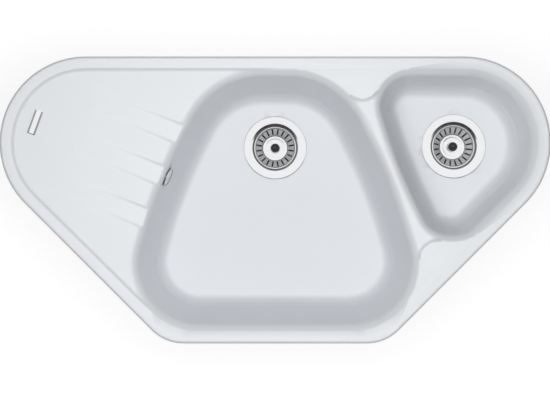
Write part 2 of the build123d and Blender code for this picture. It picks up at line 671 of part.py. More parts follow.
def overflow_cover():
    """A round cap that stands off the wall on three feet, so that water passes behind its edge."""
    low = COVER_STAND
    top = COVER_STAND + COVER_THICKNESS
    points = [
        (OVERFLOW_SCREW_R, low),
        (COVER_R, low),
        (COVER_R, low + COVER_EDGE),
        (COVER_RIDGE_R, top + COVER_RIDGE),
        (OVERFLOW_SCREW_HEAD_R, top),
        (OVERFLOW_SCREW_R, top),
    ]
    cover = turned(points, [0] * len(points))
    foot = Cylinder(COVER_FOOT_R, COVER_STAND - COVER_FOOT_EASE, align=UPWARDS)
    for i in range(3):
        cover += Rot(0, 0, 30 + i * 120) * Pos(COVER_FOOT_CIRCLE_R, 0, COVER_FOOT_EASE) * foot
    return OVERFLOW.location * cover


def overflow_screw():
    seat = COVER_STAND + COVER_THICKNESS
    head = Cylinder(OVERFLOW_SCREW_HEAD_R, OVERFLOW_SCREW_HEAD_HEIGHT, align=UPWARDS)
    length = seat - ELBOW_MIDDLE
    shank = Cylinder(OVERFLOW_SCREW_R, length, align=DOWNWARDS)
    return OVERFLOW.location * Pos(0, 0, seat) * (head + shank)


def overflow_gasket():
    return OVERFLOW.location * ring(ELBOW_FLANGE_R, OVERFLOW_HOLE_R, WALL_BACK, GASKET_BACK)


def overflow_elbow():
    """A chamber behind the wall with a boss for the cover's screw and a socket that points down."""
    flange = ring(ELBOW_FLANGE_R, ELBOW_BORE_R, GASKET_BACK, GASKET_BACK - ELBOW_FLANGE_THICKNESS)
    chamber_r = ELBOW_BORE_R + ELBOW_WALL
    chamber = Pos(0, 0, GASKET_BACK) * Cylinder(chamber_r, ELBOW_DEPTH, align=DOWNWARDS)
    elbow = OVERFLOW.location * (flange + chamber)
    way_down = ELBOW_CENTRE.Z - SOCKET_END_Z
    outlet = Cylinder(SOCKET_R, way_down, align=DOWNWARDS)
    elbow += Pos(ELBOW_CENTRE) * outlet
    bore_length = ELBOW_DEPTH - ELBOW_WALL
    bore = Pos(0, 0, GASKET_BACK) * Cylinder(ELBOW_BORE_R, bore_length, align=DOWNWARDS)
    elbow -= OVERFLOW.location * bore
    elbow -= Pos(ELBOW_CENTRE) * Cylinder(PIPE_R - PIPE_WALL, way_down + CUT_MARGIN, align=DOWNWARDS)
    elbow -= Pos(ELBOW_CENTRE.X, ELBOW_CENTRE.Y, SOCKET_END_Z) * Cylinder(PIPE_R, 2 * SOCKET_LENGTH)
    boss_length = ELBOW_MIDDLE - ELBOW_END + ELBOW_BOSS_R
    boss = Cylinder(ELBOW_BOSS_R, boss_length, align=UPWARDS)
    boss -= Cylinder(OVERFLOW_SCREW_R, 4 * boss_length)
    boss = Pos(0, 0, ELBOW_END + ELBOW_WALL / 2) * boss
    return elbow + OVERFLOW.location * boss


def port_place(distance):
    return Vector(MAIN_DRAIN_X, MAIN_DRAIN_Y, PORT_Z) + PORT_WAY * distance


def along_port(distance, solid):
    """A solid that was made along Z, laid along the port's axis at a distance from the drain."""
    across = Vector(-PORT_WAY.Y, PORT_WAY.X, 0)
    return Plane(origin=port_place(distance), x_dir=across, z_dir=PORT_WAY).location * solid


def overflow_port():
    """The waste body's side socket, and the bore that opens it into the body."""
    inside = WASTE_BORE_R + WASTE_WALL / 2
    socket = along_port(inside, Cylinder(SOCKET_R, PORT_MOUTH - inside, align=UPWARDS))
    bore_r = PIPE_R - PIPE_WALL
    start = WASTE_BORE_R - 4 * WASTE_WALL
    bore = along_port(start, Cylinder(bore_r, PORT_MOUTH - start, align=UPWARDS))
    pocket = along_port(PORT_MOUTH - SOCKET_LENGTH, Cylinder(PIPE_R, 2 * SOCKET_LENGTH, align=UPWARDS))
    return socket, bore + pocket


def overflow_pipe():
    top = Vector(ELBOW_CENTRE.X, ELBOW_CENTRE.Y, SOCKET_TOP_Z)
    turn = Vector(ELBOW_CENTRE.X, ELBOW_CENTRE.Y, PORT_Z)
    route = FilletPolyline(top, turn, port_place(PORT_MOUTH - SOCKET_LENGTH), radius=PIPE_BEND_R)
    section = Plane(origin=top, z_dir=(0, 0, -1)) * (Circle(PIPE_R) - Circle(PIPE_R - PIPE_WALL))
    return sweep(section, path=route.wire())


def pipe_nut():
    outer = RegularPolygon(SOCKET_R + NUT_RING_WALL, NUT_RING_SIDES, major_radius=False)
    return extrude(outer - Circle(SOCKET_R), NUT_RING_LENGTH)


def upper_pipe_nut():
    return Pos(ELBOW_CENTRE.X, ELBOW_CENTRE.Y, SOCKET_END_Z) * pipe_nut()


def lower_pipe_nut():
    return along_port(PORT_MOUTH - NUT_RING_LENGTH, pipe_nut())


# ---------------------------------------------------------------- clamps
CLAW_TOP = -CLAW_DROP
SLEEVE_TOP = -SKIRT_DEPTH / 2 - CLAMP_BOSS_DEPTH
HEAD_TOP = CLAW_TOP - CLAW_THICKNESS - RUN_GAP


def clamp_claw(clamp):
    """A stamped arm with a turned-up tooth at its end, folded along the rim's edge."""
    reach = CLAW_LENGTH - CLAW_WIDTH / 2
    plate = Pos(reach / 2, 0) * SlotCenterToCenter(reach, CLAW_WIDTH) - Circle(CLAMP_SCREW_R + SHAFT_GAP)
    arm = extrude(plate, CLAW_THICKNESS)
    tooth_size = (CLAW_THICKNESS, CLAW_TOOTH_WIDTH, CLAW_TOOTH)
    tooth = Box(*tooth_size, align=(Align.MAX, Align.CENTER, Align.MIN))
    arm += Pos(CLAW_LENGTH - CLAW_TOOTH_INSET, 0, CLAW_THICKNESS / 2) * tooth
    return Pos(clamp.x, clamp.y, CLAW_TOP - CLAW_THICKNESS) * Rot(0, 0, clamp.along) * arm


def clamp_screws():
    top = CLAMP_BITE - CLAMP_BOSS_DEPTH - SKIRT_DEPTH / 2
    shank = Pos(0, 0, top) * Cylinder(CLAMP_SCREW_R, top - HEAD_TOP, align=DOWNWARDS)
    head = Cylinder(CLAMP_SCREW_HEAD_R, CLAMP_SCREW_HEAD_HEIGHT, align=DOWNWARDS)
    screw = shank + Pos(0, 0, HEAD_TOP) * head
    return Compound([Pos(clamp.x, clamp.y) * screw for clamp in CLAMPS])


def clamp_sleeves():
    outer = CLAMP_SCREW_R + CLAMP_SLEEVE_WALL
    sleeve = ring(outer, CLAMP_SCREW_R, SLEEVE_TOP, CLAW_TOP + RUN_GAP)
    return Compound([Pos(clamp.x, clamp.y) * sleeve for clamp in CLAMPS])


# ---------------------------------------------------------------- put every part in its place
def both(part):
    """The same part under the main bowl and under the small bowl, as two solids of one node."""
    return Compound([MAIN_PLACE * part, SMALL_PLACE * part])


MAIN_PLACE = Pos(MAIN_DRAIN_X, MAIN_DRAIN_Y, MAIN_FLOOR)
SMALL_PLACE = Pos(SMALL_DRAIN_X, SMALL_DRAIN_Y, SMALL_FLOOR)


def build():
    cup = strainer_cup()
    basket = strainer_basket()
    bush = basket_bush()
    push_ring = bush_ring()
    stem = stopper_stem()
    seal = stopper_seal()
    knob = pull_knob()
    waste = waste_body()
    tube = outlet_tube()
    port_socket, port_bore = overflow_port()
    nodes = {
        "sink_body": sink_body(),
        "cup_gaskets": both(cup_gasket()),
        "waste_gaskets": both(waste_gasket()),
        "waste_bolts": both(waste_bolt()),
        "waste_nuts": both(waste_nut()),
        "main_waste_body": MAIN_PLACE * waste + port_socket - port_bore,
        "small_waste_body": SMALL_PLACE * waste,
        "overflow_cover": overflow_cover(),
        "overflow_screw": overflow_screw(),
        "overflow_gasket": overflow_gasket(),
        "overflow_elbow": overflow_elbow(),
        "overflow_pipe": overflow_pipe(),
        "upper_pipe_nut": upper_pipe_nut(),
        "lower_pipe_nut": lower_pipe_nut(),
        "clamp_screws": clamp_screws(),
        "clamp_sleeves": clamp_sleeves(),
    }
    for bowl, place in (("main", MAIN_PLACE), ("small", SMALL_PLACE)):
        nodes[f"{bowl}_outlet_tube"] = place * tube
        nodes[f"{bowl}_strainer_cup"] = place * cup
        nodes[f"{bowl}_strainer_basket"] = place * basket
        nodes[f"{bowl}_basket_bush"] = place * bush
        nodes[f"{bowl}_bush_ring"] = place * push_ring
        nodes[f"{bowl}_stopper_stem"] = place * stem
        nodes[f"{bowl}_stopper_seal"] = place * seal
        nodes[f"{bowl}_pull_knob"] = place * knob
    for number, clamp in enumerate(CLAMPS, start=1):
        nodes[f"clamp_claw_{number}"] = clamp_claw(clamp)
    return nodes


os.makedirs("parts", exist_ok=True)
for name, solid in build().items():
    export_step(solid, f"parts/{name}.step")
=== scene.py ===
"""Corner kitchen sink in white stone composite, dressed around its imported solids.

X runs to the right and Y to the rear, seen from above with the drainer on the left. Z points up from the
worktop, on which the rim's underside rests at Z = 0. Sizes in the classes are in millimetres, and meshes are
in metres. A section is a list of radii and heights.
"""

import json
import logging
import math
from collections.abc import Callable, Iterator, Mapping, Sequence
from contextlib import contextmanager
from dataclasses import dataclass
from enum import Enum
from typing import Any

import bmesh
import bpy
from mathutils import Matrix, Vector

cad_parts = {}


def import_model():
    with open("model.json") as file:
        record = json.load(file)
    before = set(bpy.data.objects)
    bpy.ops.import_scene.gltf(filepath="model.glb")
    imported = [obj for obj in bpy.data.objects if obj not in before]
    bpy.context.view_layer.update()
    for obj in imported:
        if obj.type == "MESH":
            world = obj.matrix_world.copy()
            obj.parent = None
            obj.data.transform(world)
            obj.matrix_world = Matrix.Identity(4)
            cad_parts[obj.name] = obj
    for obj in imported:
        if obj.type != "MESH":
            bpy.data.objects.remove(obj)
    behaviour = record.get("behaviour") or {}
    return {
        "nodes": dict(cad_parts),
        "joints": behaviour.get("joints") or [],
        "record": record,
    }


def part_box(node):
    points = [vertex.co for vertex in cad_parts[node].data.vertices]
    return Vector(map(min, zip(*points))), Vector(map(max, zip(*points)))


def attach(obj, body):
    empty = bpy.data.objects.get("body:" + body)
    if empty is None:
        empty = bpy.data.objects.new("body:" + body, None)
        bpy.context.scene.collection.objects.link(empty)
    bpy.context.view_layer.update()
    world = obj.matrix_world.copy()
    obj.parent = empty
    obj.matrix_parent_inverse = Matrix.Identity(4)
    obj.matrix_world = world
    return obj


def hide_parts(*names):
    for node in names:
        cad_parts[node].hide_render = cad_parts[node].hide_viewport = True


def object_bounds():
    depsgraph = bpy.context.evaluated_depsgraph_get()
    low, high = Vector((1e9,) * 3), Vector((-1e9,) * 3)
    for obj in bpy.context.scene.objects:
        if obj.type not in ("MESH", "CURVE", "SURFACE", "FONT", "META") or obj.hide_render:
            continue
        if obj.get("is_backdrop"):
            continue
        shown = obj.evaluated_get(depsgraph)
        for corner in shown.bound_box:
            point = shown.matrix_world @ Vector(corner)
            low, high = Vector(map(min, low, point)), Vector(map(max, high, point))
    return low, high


LOG = logging.getLogger("sink")
MM = 0.001
MERGE_WITHIN = 1e-6
QUARTER_ARC_HANDLE = 0.5523

Number = int | float
Point = tuple[float, float]
Triple = tuple[float, float, float]
Section = Sequence[Point]
FaceTest = Callable[[Vector, Vector], bool]
Piece = bpy.types.Object


# ---------------------------------------------------------------- shader expressions
class Value:
    """The output of a node, with Python's operators for maths on numbers."""

    def __init__(self, graph: "Graph", socket: bpy.types.NodeSocket) -> None:
        """Wrap a socket.

        Args:
            graph: The graph that the socket belongs to.
            socket: The output that gives the value.
        """
        self.graph = graph
        self.socket = socket

    def _with(self, operation: str, first: Any, second: Any) -> "Value":
        """Add one Math node.

        Args:
            operation: The Math node's operation.
            first: Its first number or value.
            second: Its second number or value.

        Returns:
            The node's result.
        """
        return self.graph.node("ShaderNodeMath", {"operation": operation}, {0: first, 1: second})

    def __add__(self, other: Any) -> "Value":
        """This value plus another."""
        return self._with("ADD", self, other)

    def __radd__(self, other: Any) -> "Value":
        """A number plus this value."""
        return self._with("ADD", other, self)

    def __sub__(self, other: Any) -> "Value":
        """This value less another."""
        return self._with("SUBTRACT", self, other)

    def __rsub__(self, other: Any) -> "Value":
        """A number less this value."""
        return self._with("SUBTRACT", other, self)

    def __mul__(self, other: Any) -> "Value":
        """This value times another."""
        return self._with("MULTIPLY", self, other)

    def __rmul__(self, other: Any) -> "Value":
        """A number times this value."""
        return self._with("MULTIPLY", other, self)

    def __truediv__(self, other: Any) -> "Value":
        """This value over another."""
        return self._with("DIVIDE", self, other)

    def __pow__(self, other: Any) -> "Value":
        """This value to a power."""
        return self._with("POWER", self, other)

    def largest(self, other: Any) -> "Value":
        """The larger of this value and another."""
        return self._with("MAXIMUM", self, other)

    def smallest(self, other: Any) -> "Value":
        """The smaller of this value and another."""
        return self._with("MINIMUM", self, other)

    def between(self, low: Number, high: Number) -> "Value":
        """Spread this value over 0 to 1, and hold it there.

        Args:
            low: The value that becomes 0.
            high: The value that becomes 1.

        Returns:
            The spread value.
        """
        inputs = {"Value": self, "From Min": low, "From Max": high}
        return self.graph.node("ShaderNodeMapRange", {"clamp": True}, inputs)


class Graph:
    """The nodes of one material or of the world."""

    def __init__(self, tree: bpy.types.NodeTree) -> None:
        """Start with an empty tree.

        Args:
            tree: The node tree to fill.
        """
        self.tree = tree
        self.tree.nodes.clear()

    def node(
        self,
        kind: str,
        settings: Mapping[str, Any] | None = None,
        inputs: Mapping[int | str, Any] | None = None,
        output: int | str = 0,
    ) -> Value:
        """Add a node.

        Args:
            kind: The node's type.
            settings: Its settings, which are set first.
            inputs: Numbers, colours or values for its sockets.
            output: The output that is wanted.

        Returns:
            That output.
        """
        made = self.tree.nodes.new(kind)
        for name, setting in (settings or {}).items():
            setattr(made, name, setting)
        for name, given in (inputs or {}).items():
            if isinstance(given, Value):
                self.tree.links.new(given.socket, made.inputs[name])
            else:
                made.inputs[name].default_value = given
        return Value(self, made.outputs[output] if made.outputs else None)

    def place(self, stretch: Triple = (1.0, 1.0, 1.0), centre: Vector | None = None) -> Value:
        """The point on the surface, in metres, in the shared frame.

        Args:
            stretch: Factors along each axis.
            centre: The point that becomes the middle of the pattern.

        Returns:
            The point as a vector.
        """
        point = self.node("ShaderNodeTexCoord", output="Object")
        shift = centre or Vector()
        shifted = self.node("ShaderNodeVectorMath", {"operation": "SUBTRACT"}, {0: point, 1: tuple(shift)})
        return self.node("ShaderNodeVectorMath", {"operation": "MULTIPLY"}, {0: shifted, 1: stretch})

    def noise(self, scale: float, detail: float = 2.0) -> Value:
        """Smooth noise from 0 to 1.

        Args:
            scale: Blotches per metre.
            detail: Octaves of finer noise.

        Returns:
            The noise.
        """
        inputs = {"Vector": self.place(), "Scale": scale, "Detail": detail}
        return self.node("ShaderNodeTexNoise", None, inputs)

    def blend(self, share: Any, first: Any, second: Any) -> Value:
        """Mix two colours.

        Args:
            share: How much of the second, from 0 to 1.
            first: A colour or value.
            second: A colour or value.

        Returns:
            The mixed colour.
        """
        return self.node("ShaderNodeMix", {"data_type": "RGBA"}, {0: share, 6: first, 7: second}, 2)

    def bump(self, height: Value, depth: float) -> Value:
        """A normal that is tilted by a height.

        Args:
            height: The height, from 0 to 1.
            depth: The height of 1, in metres.

        Returns:
            The normal.
        """
        return self.node("ShaderNodeBump", None, {"Strength": 1.0, "Distance": depth, "Height": height})

    def part(self, vector: Value, axis: int) -> Value:
        """One number of a vector: 0 is X, 1 is Y and 2 is Z."""
        return self.node("ShaderNodeSeparateXYZ", None, {0: vector}, axis)

    def upward(self) -> Value:
        """How far the surface faces up: 1 on a level top, 0 on a wall and -1 on an underside."""
        return self.part(self.node("ShaderNodeNewGeometry", output="Normal"), 2)

    def end(self, shader: Value, kind: str = "ShaderNodeOutputMaterial") -> None:
        """Close the graph with its shader."""
        self.node(kind, None, {"Surface": shader})


def new_material(name: str) -> tuple[bpy.types.Material, Graph]:
    """Start a material.

    Args:
        name: Its name.

    Returns:
        The material and its empty graph.
    """
    made = bpy.data.materials.new(name)
    made.use_nodes = True
    return made, Graph(made.node_tree)


def rgba(colour: Triple, factor: float = 1.0) -> tuple[float, float, float, float]:
    """The colour times a factor, at most white, and opaque."""
    return (*(min(1.0, part * factor) for part in colour), 1.0)


# ---------------------------------------------------------------- finishes
@dataclass(frozen=True)
class Finish:
    """A surface finish: its colour, its gloss and the fine grain and clouds that both carry."""

    name: str
    colour: Triple
    roughness: float
    metallic: float = 0.0
    coat: float = 0.0
    coat_roughness: float = 0.12
    specular: float = 0.5
    grain_scale: float = 900.0
    grain_depth: float = 0.00001
    grains_per_cloud: float = 14.0
    cloud_share: float = 0.6
    tone_spread: float = 0.06
    gloss_spread: float = 0.06

    def material(self) -> bpy.types.Material:
        """The finish as a material, made once.

        Returns:
            The material.
        """
        known = bpy.data.materials.get(self.name)
        if known:
            return known
        made, graph = new_material(self.name)
        self.dress(graph)
        return made

    def dress(self, graph: Graph) -> None:
        """Fill the material's graph.

        Args:
            graph: The material's empty graph.
        """
        grain = graph.noise(self.grain_scale, detail=3.0)
        cloud = graph.noise(self.grain_scale / self.grains_per_cloud)
        colour = self.toned(graph, cloud * self.cloud_share + grain * (1 - self.cloud_share))
        self.shade(graph, colour, self.varied(cloud, grain), graph.bump(grain, self.grain_depth))

    def toned(self, graph: Graph, share: Value, lightest: float = 1.0) -> Value:
        """Vary the colour between its darkest and its lightest tone.

        Args:
            graph: The material's graph.
            share: How light it is, from 0 to 1.
            lightest: The lightest tone, as a factor on the colour.

        Returns:
            The colour.
        """
        return graph.blend(share, rgba(self.colour, 1 - self.tone_spread), rgba(self.colour, lightest))

    def varied(self, first: Value, second: Value) -> Value:
        """The roughness, varied by two patterns from 0 to 1."""
        return (first - 0.5) * self.gloss_spread + (second - 0.5) * self.gloss_spread + self.roughness

    def shade(self, graph: Graph, colour: Value, roughness: Value, normal: Value) -> None:
        """End the graph in one shader.

        Args:
            graph: The material's graph.
            colour: Its base colour.
            roughness: Its roughness.
            normal: Its normal.
        """
        inputs = {
            "Base Color": colour,
            "Roughness": roughness,
            "Normal": normal,
            "Metallic": self.metallic,
            "Specular IOR Level": self.specular,
            "Coat Weight": self.coat,
            "Coat Roughness": self.coat_roughness,
        }
        graph.end(graph.node("ShaderNodeBsdfPrincipled", None, inputs))


@dataclass(frozen=True)
class StoneComposite(Finish):
    """Quartz sand in white resin: a silky face with a fine speckle, and a duller, coarser back.

    Slopes get a painted shade: their base colour is darkened by up to painted_slope_shade, fully from
    slope_full down to wall_full, and faded out at wall_from. A face counts as level, with no painted shade,
    where it faces up by more than level_from.
    """

    specular: float = 0.3
    grain_scale: float = 1700.0
    tone_spread: float = 0.035
    lightest: float = 1.02
    sand_scale: float = 1500.0
    sand_edges: Point = (0.12, 0.42)
    cloud_scale: float = 6.0
    cloud_share: float = 0.12
    back_colour: Triple = (0.66, 0.66, 0.645)
    back_tone: float = 0.9
    back_roughness: float = 0.28
    back_scale: float = 260.0
    back_relief: Point = (7.0, 2.0)
    back_facing: Point = (0.12, -0.05)
    back_heights: Point = (0.0006, -0.0004)
    painted_slope_shade: float = 0.2
    slope_curve: float = 0.6
    level_from: float = 0.9965
    slope_full: float = 0.9
    wall_full: float = 0.62
    wall_from: float = 0.2

    def dress(self, graph: Graph) -> None:
        """Fill the material's graph.

        Args:
            graph: The material's empty graph.
        """
        sand = graph.node("ShaderNodeTexVoronoi", None, {"Vector": graph.place(), "Scale": self.sand_scale})
        grain = graph.noise(self.grain_scale, detail=4.0)
        face = self.toned(graph, sand.between(*self.sand_edges) * 0.5 + grain * 0.5, self.lightest)
        face = graph.blend(graph.noise(self.cloud_scale) * self.cloud_share, face, rgba(self.colour))
        upward = graph.upward()
        # Painted shade: slopes are blended towards black, most between slope_full and wall_full, not on level
        # tops or steep walls.
        slope = upward.between(self.level_from, self.slope_full) ** self.slope_curve
        slope = slope * upward.between(self.wall_from, self.wall_full) * self.painted_slope_shade
        face = graph.blend(slope, face, rgba(self.colour, 0.0))
        height = graph.part(graph.place(), 2)
        under = upward.between(*self.back_facing) * height.between(*self.back_heights)
        coarse = graph.noise(self.back_scale, detail=4.0)
        back = graph.blend(coarse, rgba(self.back_colour, self.back_tone), rgba(self.back_colour))
        roughness = (grain - 0.5) * self.gloss_spread + self.roughness + under * self.back_roughness
        coarse_relief, grain_relief = self.back_relief
        relief = grain * (1 - under) + (coarse * coarse_relief + grain * grain_relief) * under
        self.shade(graph, graph.blend(under, face, back), roughness, graph.bump(relief, self.grain_depth))


@dataclass(frozen=True)
class Metal(Finish):
    """Bare or plated metal."""

    metallic: float = 1.0
    grain_scale: float = 700.0


@dataclass(frozen=True)
class TurnedSteel(Metal):
    """Steel that was polished on a spindle: fine rings round its own axis, and duller walls."""

    grain_depth: float = 0.000004
    tone_spread: float = 0.04
    centre: Triple = (0.0, 0.0, 0.0)
    rings_per_metre: float = 2600.0
    smears_per_metre: float = 70.0
    wall_facing: Point = (0.9, 0.5)
    wall_roughness: float = 0.3

    def dress(self, graph: Graph) -> None:
        """Fill the material's graph.

        Args:
            graph: The material's empty graph.
        """
        point = graph.place((1.0, 1.0, 0.0), Vector(self.centre))
        radius = graph.node("ShaderNodeVectorMath", {"operation": "LENGTH"}, {0: point}, "Value")
        pattern = {"W": radius, "Scale": self.rings_per_metre, "Detail": 3.0}
        rings = graph.node("ShaderNodeTexNoise", {"noise_dimensions": "1D"}, pattern)
        smear = graph.noise(self.smears_per_metre, detail=3.0)
        colour = self.toned(graph, smear * 0.5 + rings * 0.5)
        walls = graph.upward().between(*self.wall_facing) * self.wall_roughness
        roughness = self.varied(smear, rings) + walls
        self.shade(graph, colour, roughness, graph.bump(rings, self.grain_depth))


@dataclass(frozen=True)
class MouldedPlastic(Finish):
    """Plastic with the fine grain of its mould."""

    grain_scale: float = 520.0
    grain_depth: float = 0.00002


@dataclass(frozen=True)
class Rubber(Finish):
    """Dull rubber with a soft grain."""

    roughness: float = 0.62
    grain_scale: float = 380.0
    grain_depth: float = 0.00005


COMPOSITE = StoneComposite("white_stone_composite", (0.70, 0.714, 0.738), 0.55)
STEEL = Metal("polished_steel", (0.88, 0.885, 0.9), 0.14, tone_spread=0.03)
# Unpolished steel painted near black: a painted shade for the cup's well under the basket.
DULL_STEEL_PAINTED_SHADE = Metal("dull_steel_painted_shade", (0.085, 0.086, 0.09), 0.6, grain_scale=500.0, tone_spread=0.1)
SATIN_STEEL = Metal("satin_steel", (0.93, 0.935, 0.945), 0.4, metallic=0.35, tone_spread=0.05)
BRIGHT_STEEL = Metal("bright_steel", (0.88, 0.885, 0.89), 0.07, gloss_spread=0.02)
# Steel painted darker: a painted shade and dark reflection, used on the cup's mouth, the overflow cap's rim
# and the badge's long sides.
PAINTED_SHADE_STEEL = Metal("painted_shade_steel", (0.36, 0.365, 0.375), 0.24)
ZINC = Metal(
    "zinc_plated_steel", (0.68, 0.69, 0.71), 0.3, grain_scale=420.0, tone_spread=0.16, gloss_spread=0.16
)
BRASS = Metal("turned_brass", (0.78, 0.62, 0.34), 0.28, grain_scale=500.0, tone_spread=0.1)
BLACK_PLASTIC = Finish("black_gloss_plastic", (0.017, 0.018, 0.022), 0.2, coat=0.3, grain_scale=600.0)
WHITE_PLASTIC = MouldedPlastic("white_moulded_plastic", (0.8, 0.8, 0.79), 0.36)
GREY_PLASTIC = MouldedPlastic("grey_moulded_plastic", (0.32, 0.325, 0.33), 0.42)
BLACK_RUBBER = Rubber("black_rubber", (0.02, 0.02, 0.021), tone_spread=0.25)
GREY_RUBBER = Rubber("grey_rubber", (0.12, 0.12, 0.123), tone_spread=0.2)

NODE_FINISHES: dict[str, Finish] = {
    "composite": COMPOSITE,
    "polished_steel": STEEL,
    "zinc_steel": ZINC,
    "brass": BRASS,
    "white_plastic": WHITE_PLASTIC,
    "grey_plastic": GREY_PLASTIC,
    "dark_plastic": BLACK_PLASTIC,
    "dark_rubber": BLACK_RUBBER,
    "grey_rubber": GREY_RUBBER,
}


# ---------------------------------------------------------------- modelling by operators
def deselect() -> None:
    """Let go of every object."""
    if bpy.context.object and bpy.context.object.mode != "OBJECT":
        bpy.ops.object.mode_set(mode="OBJECT")
    bpy.ops.object.select_all(action="DESELECT")


def activate(piece: Piece) -> None:
    """Select one object alone.

    Args:
        piece: The object to work on.
    """
    deselect()
    piece.select_set(True)
    bpy.context.view_layer.objects.active = piece


@contextmanager
def editing(piece: Piece) -> Iterator[None]:
    """Edit mode on one object, with everything in it selected at the start.

    Args:
        piece: The object to edit.

    Yields:
        Nothing.
    """
    activate(piece)
    bpy.ops.object.mode_set(mode="EDIT")
    bpy.ops.mesh.select_all(action="SELECT")
    yield
    bpy.ops.object.mode_set(mode="OBJECT")


def select_faces(piece: Piece, test: FaceTest) -> int:
    """Select the faces that pass a test, in edit mode.

    Args:
        piece: The object in edit mode.
        test: Says from a face's centre and normal whether it is wanted.

    Returns:
        The number of faces that are selected.
    """
    bpy.ops.mesh.select_mode(type="FACE")
    bpy.ops.mesh.select_all(action="DESELECT")
    mesh = bmesh.from_edit_mesh(piece.data)
    count = 0
    for face in mesh.faces:
        face.select = test(face.calc_center_median(), face.normal)
        count += face.select
    mesh.select_flush_mode()
    bmesh.update_edit_mesh(piece.data)
    return count


def smooth(piece: Piece, angle: float) -> None:
    """Shade a piece smoothly, and leave edges sharper than an angle in degrees sharp."""
    activate(piece)
    bpy.ops.object.shade_smooth_by_angle(angle=math.radians(angle))


def settle(piece: Piece, smooth_angle: float) -> None:
    """Put a piece's place into its mesh, close and turn its faces outwards, and smooth it.

    Args:
        piece: The finished piece.
        smooth_angle: Edges sharper than this stay sharp, in degrees.
    """
    activate(piece)
    bpy.ops.object.transform_apply(location=True, rotation=True, scale=True)
    with editing(piece):
        bpy.ops.mesh.remove_doubles(threshold=MERGE_WITHIN)
        bpy.ops.mesh.normals_make_consistent(inside=False)
    smooth(piece, smooth_angle)


def apply_modifier(piece: Piece, kind: str, **settings: Any) -> None:
    """Add one modifier and apply it at once.

    Args:
        piece: The piece that it works on.
        kind: The modifier's type.
        settings: Its settings.
    """
    activate(piece)
    modifier = piece.modifiers.new(kind.lower(), kind)
    for name, setting in settings.items():
        setattr(modifier, name, setting)
    bpy.ops.object.modifier_apply(modifier=modifier.name)


def bevel(piece: Piece, width: float, sharp_angle: float = 30.0) -> None:
    """Bevel a piece's sharp edges.

    Args:
        piece: The piece to bevel.
        width: The bevels' width, in millimetres.
        sharp_angle: Edges sharper than this are bevelled, in degrees.
    """
    limit = {"limit_method": "ANGLE", "angle_limit": math.radians(sharp_angle)}
    apply_modifier(piece, "BEVEL", width=width * MM, segments=2, **limit)


def turned(name: str, section: Section, steps: int, closed: bool = True, capped: bool = False) -> Piece:
    """Turn a section about Z, by extruding one ring from the last.

    Args:
        name: The piece's name.
        section: Radii and heights of the section's corners, in millimetres. A radius of 0 ends the form.
        steps: Faces round the axis.
        closed: Whether the last ring joins the first.
        capped: Whether open ends are filled.

    Returns:
        The piece, at the origin.
    """
    deselect()
    radius, height = section[0]
    bpy.ops.mesh.primitive_circle_add(vertices=steps, radius=radius * MM, location=(0, 0, height * MM))
    piece = bpy.context.object
    piece.name = name
    bpy.ops.object.transform_apply(location=True)
    following = list(section[1:]) + ([section[0]] if closed else [])
    with editing(piece):
        for next_radius, next_height in following:
            bpy.ops.mesh.extrude_edges_move()
            rise = (0, 0, (next_height - height) * MM)
            bpy.ops.transform.translate(value=rise)
            if next_radius == 0:
                bpy.ops.mesh.merge(type="CENTER")
                break
            factor = next_radius / radius
            if factor != 1.0:
                bpy.ops.transform.resize(value=(factor, factor, 1), center_override=(0, 0, next_height * MM))
            radius, height = next_radius, next_height
        bpy.ops.mesh.select_all(action="SELECT")
        bpy.ops.mesh.remove_doubles(threshold=MERGE_WITHIN)
        if capped:
            bpy.ops.mesh.fill_holes(sides=0)
        bpy.ops.mesh.normals_make_consistent(inside=False)
    return piece


def arc(centre: Point, radius: float, start: float, end: float, steps: int) -> list[Point]:
    """Points on an arc of a section.

    Args:
        centre: Radius and height of the arc's centre.
        radius: The arc's radius.
        start: Its first angle, in degrees from outwards to upwards.
        end: Its last angle.
        steps: Its number of chords.

    Returns:
        The points, both ends included.
    """
    angles = [math.radians(start + (end - start) * i / steps) for i in range(steps + 1)]
    return [(centre[0] + radius * math.cos(a), centre[1] + radius * math.sin(a)) for a in angles]


def block(name: str, size: Triple, centre: Triple) -> Piece:
    """A block, the start of a bar or a cutter.

    Args:
        name: The piece's name.
        size: Its lengths along X, Y and Z, in millimetres.
        centre: Its middle, in millimetres.

    Returns:
        The block, with its size and place in its mesh.
    """
    deselect()
    bpy.ops.mesh.primitive_cube_add(size=1)
    piece = bpy.context.object
    piece.name = name
    piece.scale = Vector(size) * MM
    piece.location = Vector(centre) * MM
    bpy.ops.object.transform_apply(location=True, rotation=True, scale=True)
    return piece


def cut_away(piece: Piece, cutter: Piece) -> None:
    """Take a cutter's space out of a piece, and drop the cutter.

    Args:
        piece: The piece that is cut.
        cutter: The solid to take out.
    """
    apply_modifier(piece, "BOOLEAN", operation="DIFFERENCE", object=cutter, solver="EXACT")
    bpy.data.objects.remove(cutter)


def fuse(piece: Piece, other: Piece) -> None:
    """Grow a piece by another solid, and drop the other.

    Args:
        piece: The piece that grows.
        other: The solid to add.
    """
    apply_modifier(piece, "BOOLEAN", operation="UNION", object=other, solver="EXACT")
    bpy.data.objects.remove(other)


def turned_solid(name: str, section: Section, steps: int) -> Piece:
    """Turn an open section about Z, with flat ends where it stays off the axis.

    Args:
        name: The piece's name.
        section: Radii and heights of the section's corners, in millimetres.
        steps: Faces round the axis.

    Returns:
        The piece, at the origin.
    """
    return turned(name, section, steps, closed=False, capped=True)


def rod(name: str, radius: float, low: float, high: float, steps: int = 64) -> Piece:
    """A plain round bar on Z, the start of a bore or a boss.

    Args:
        name: The piece's name.
        radius: Its radius, in millimetres.
        low: The height of its foot.
        high: The height of its top.
        steps: Faces round the axis.

    Returns:
        The bar.
    """
    return turned_solid(name, [(radius, low), (radius, high)], steps)


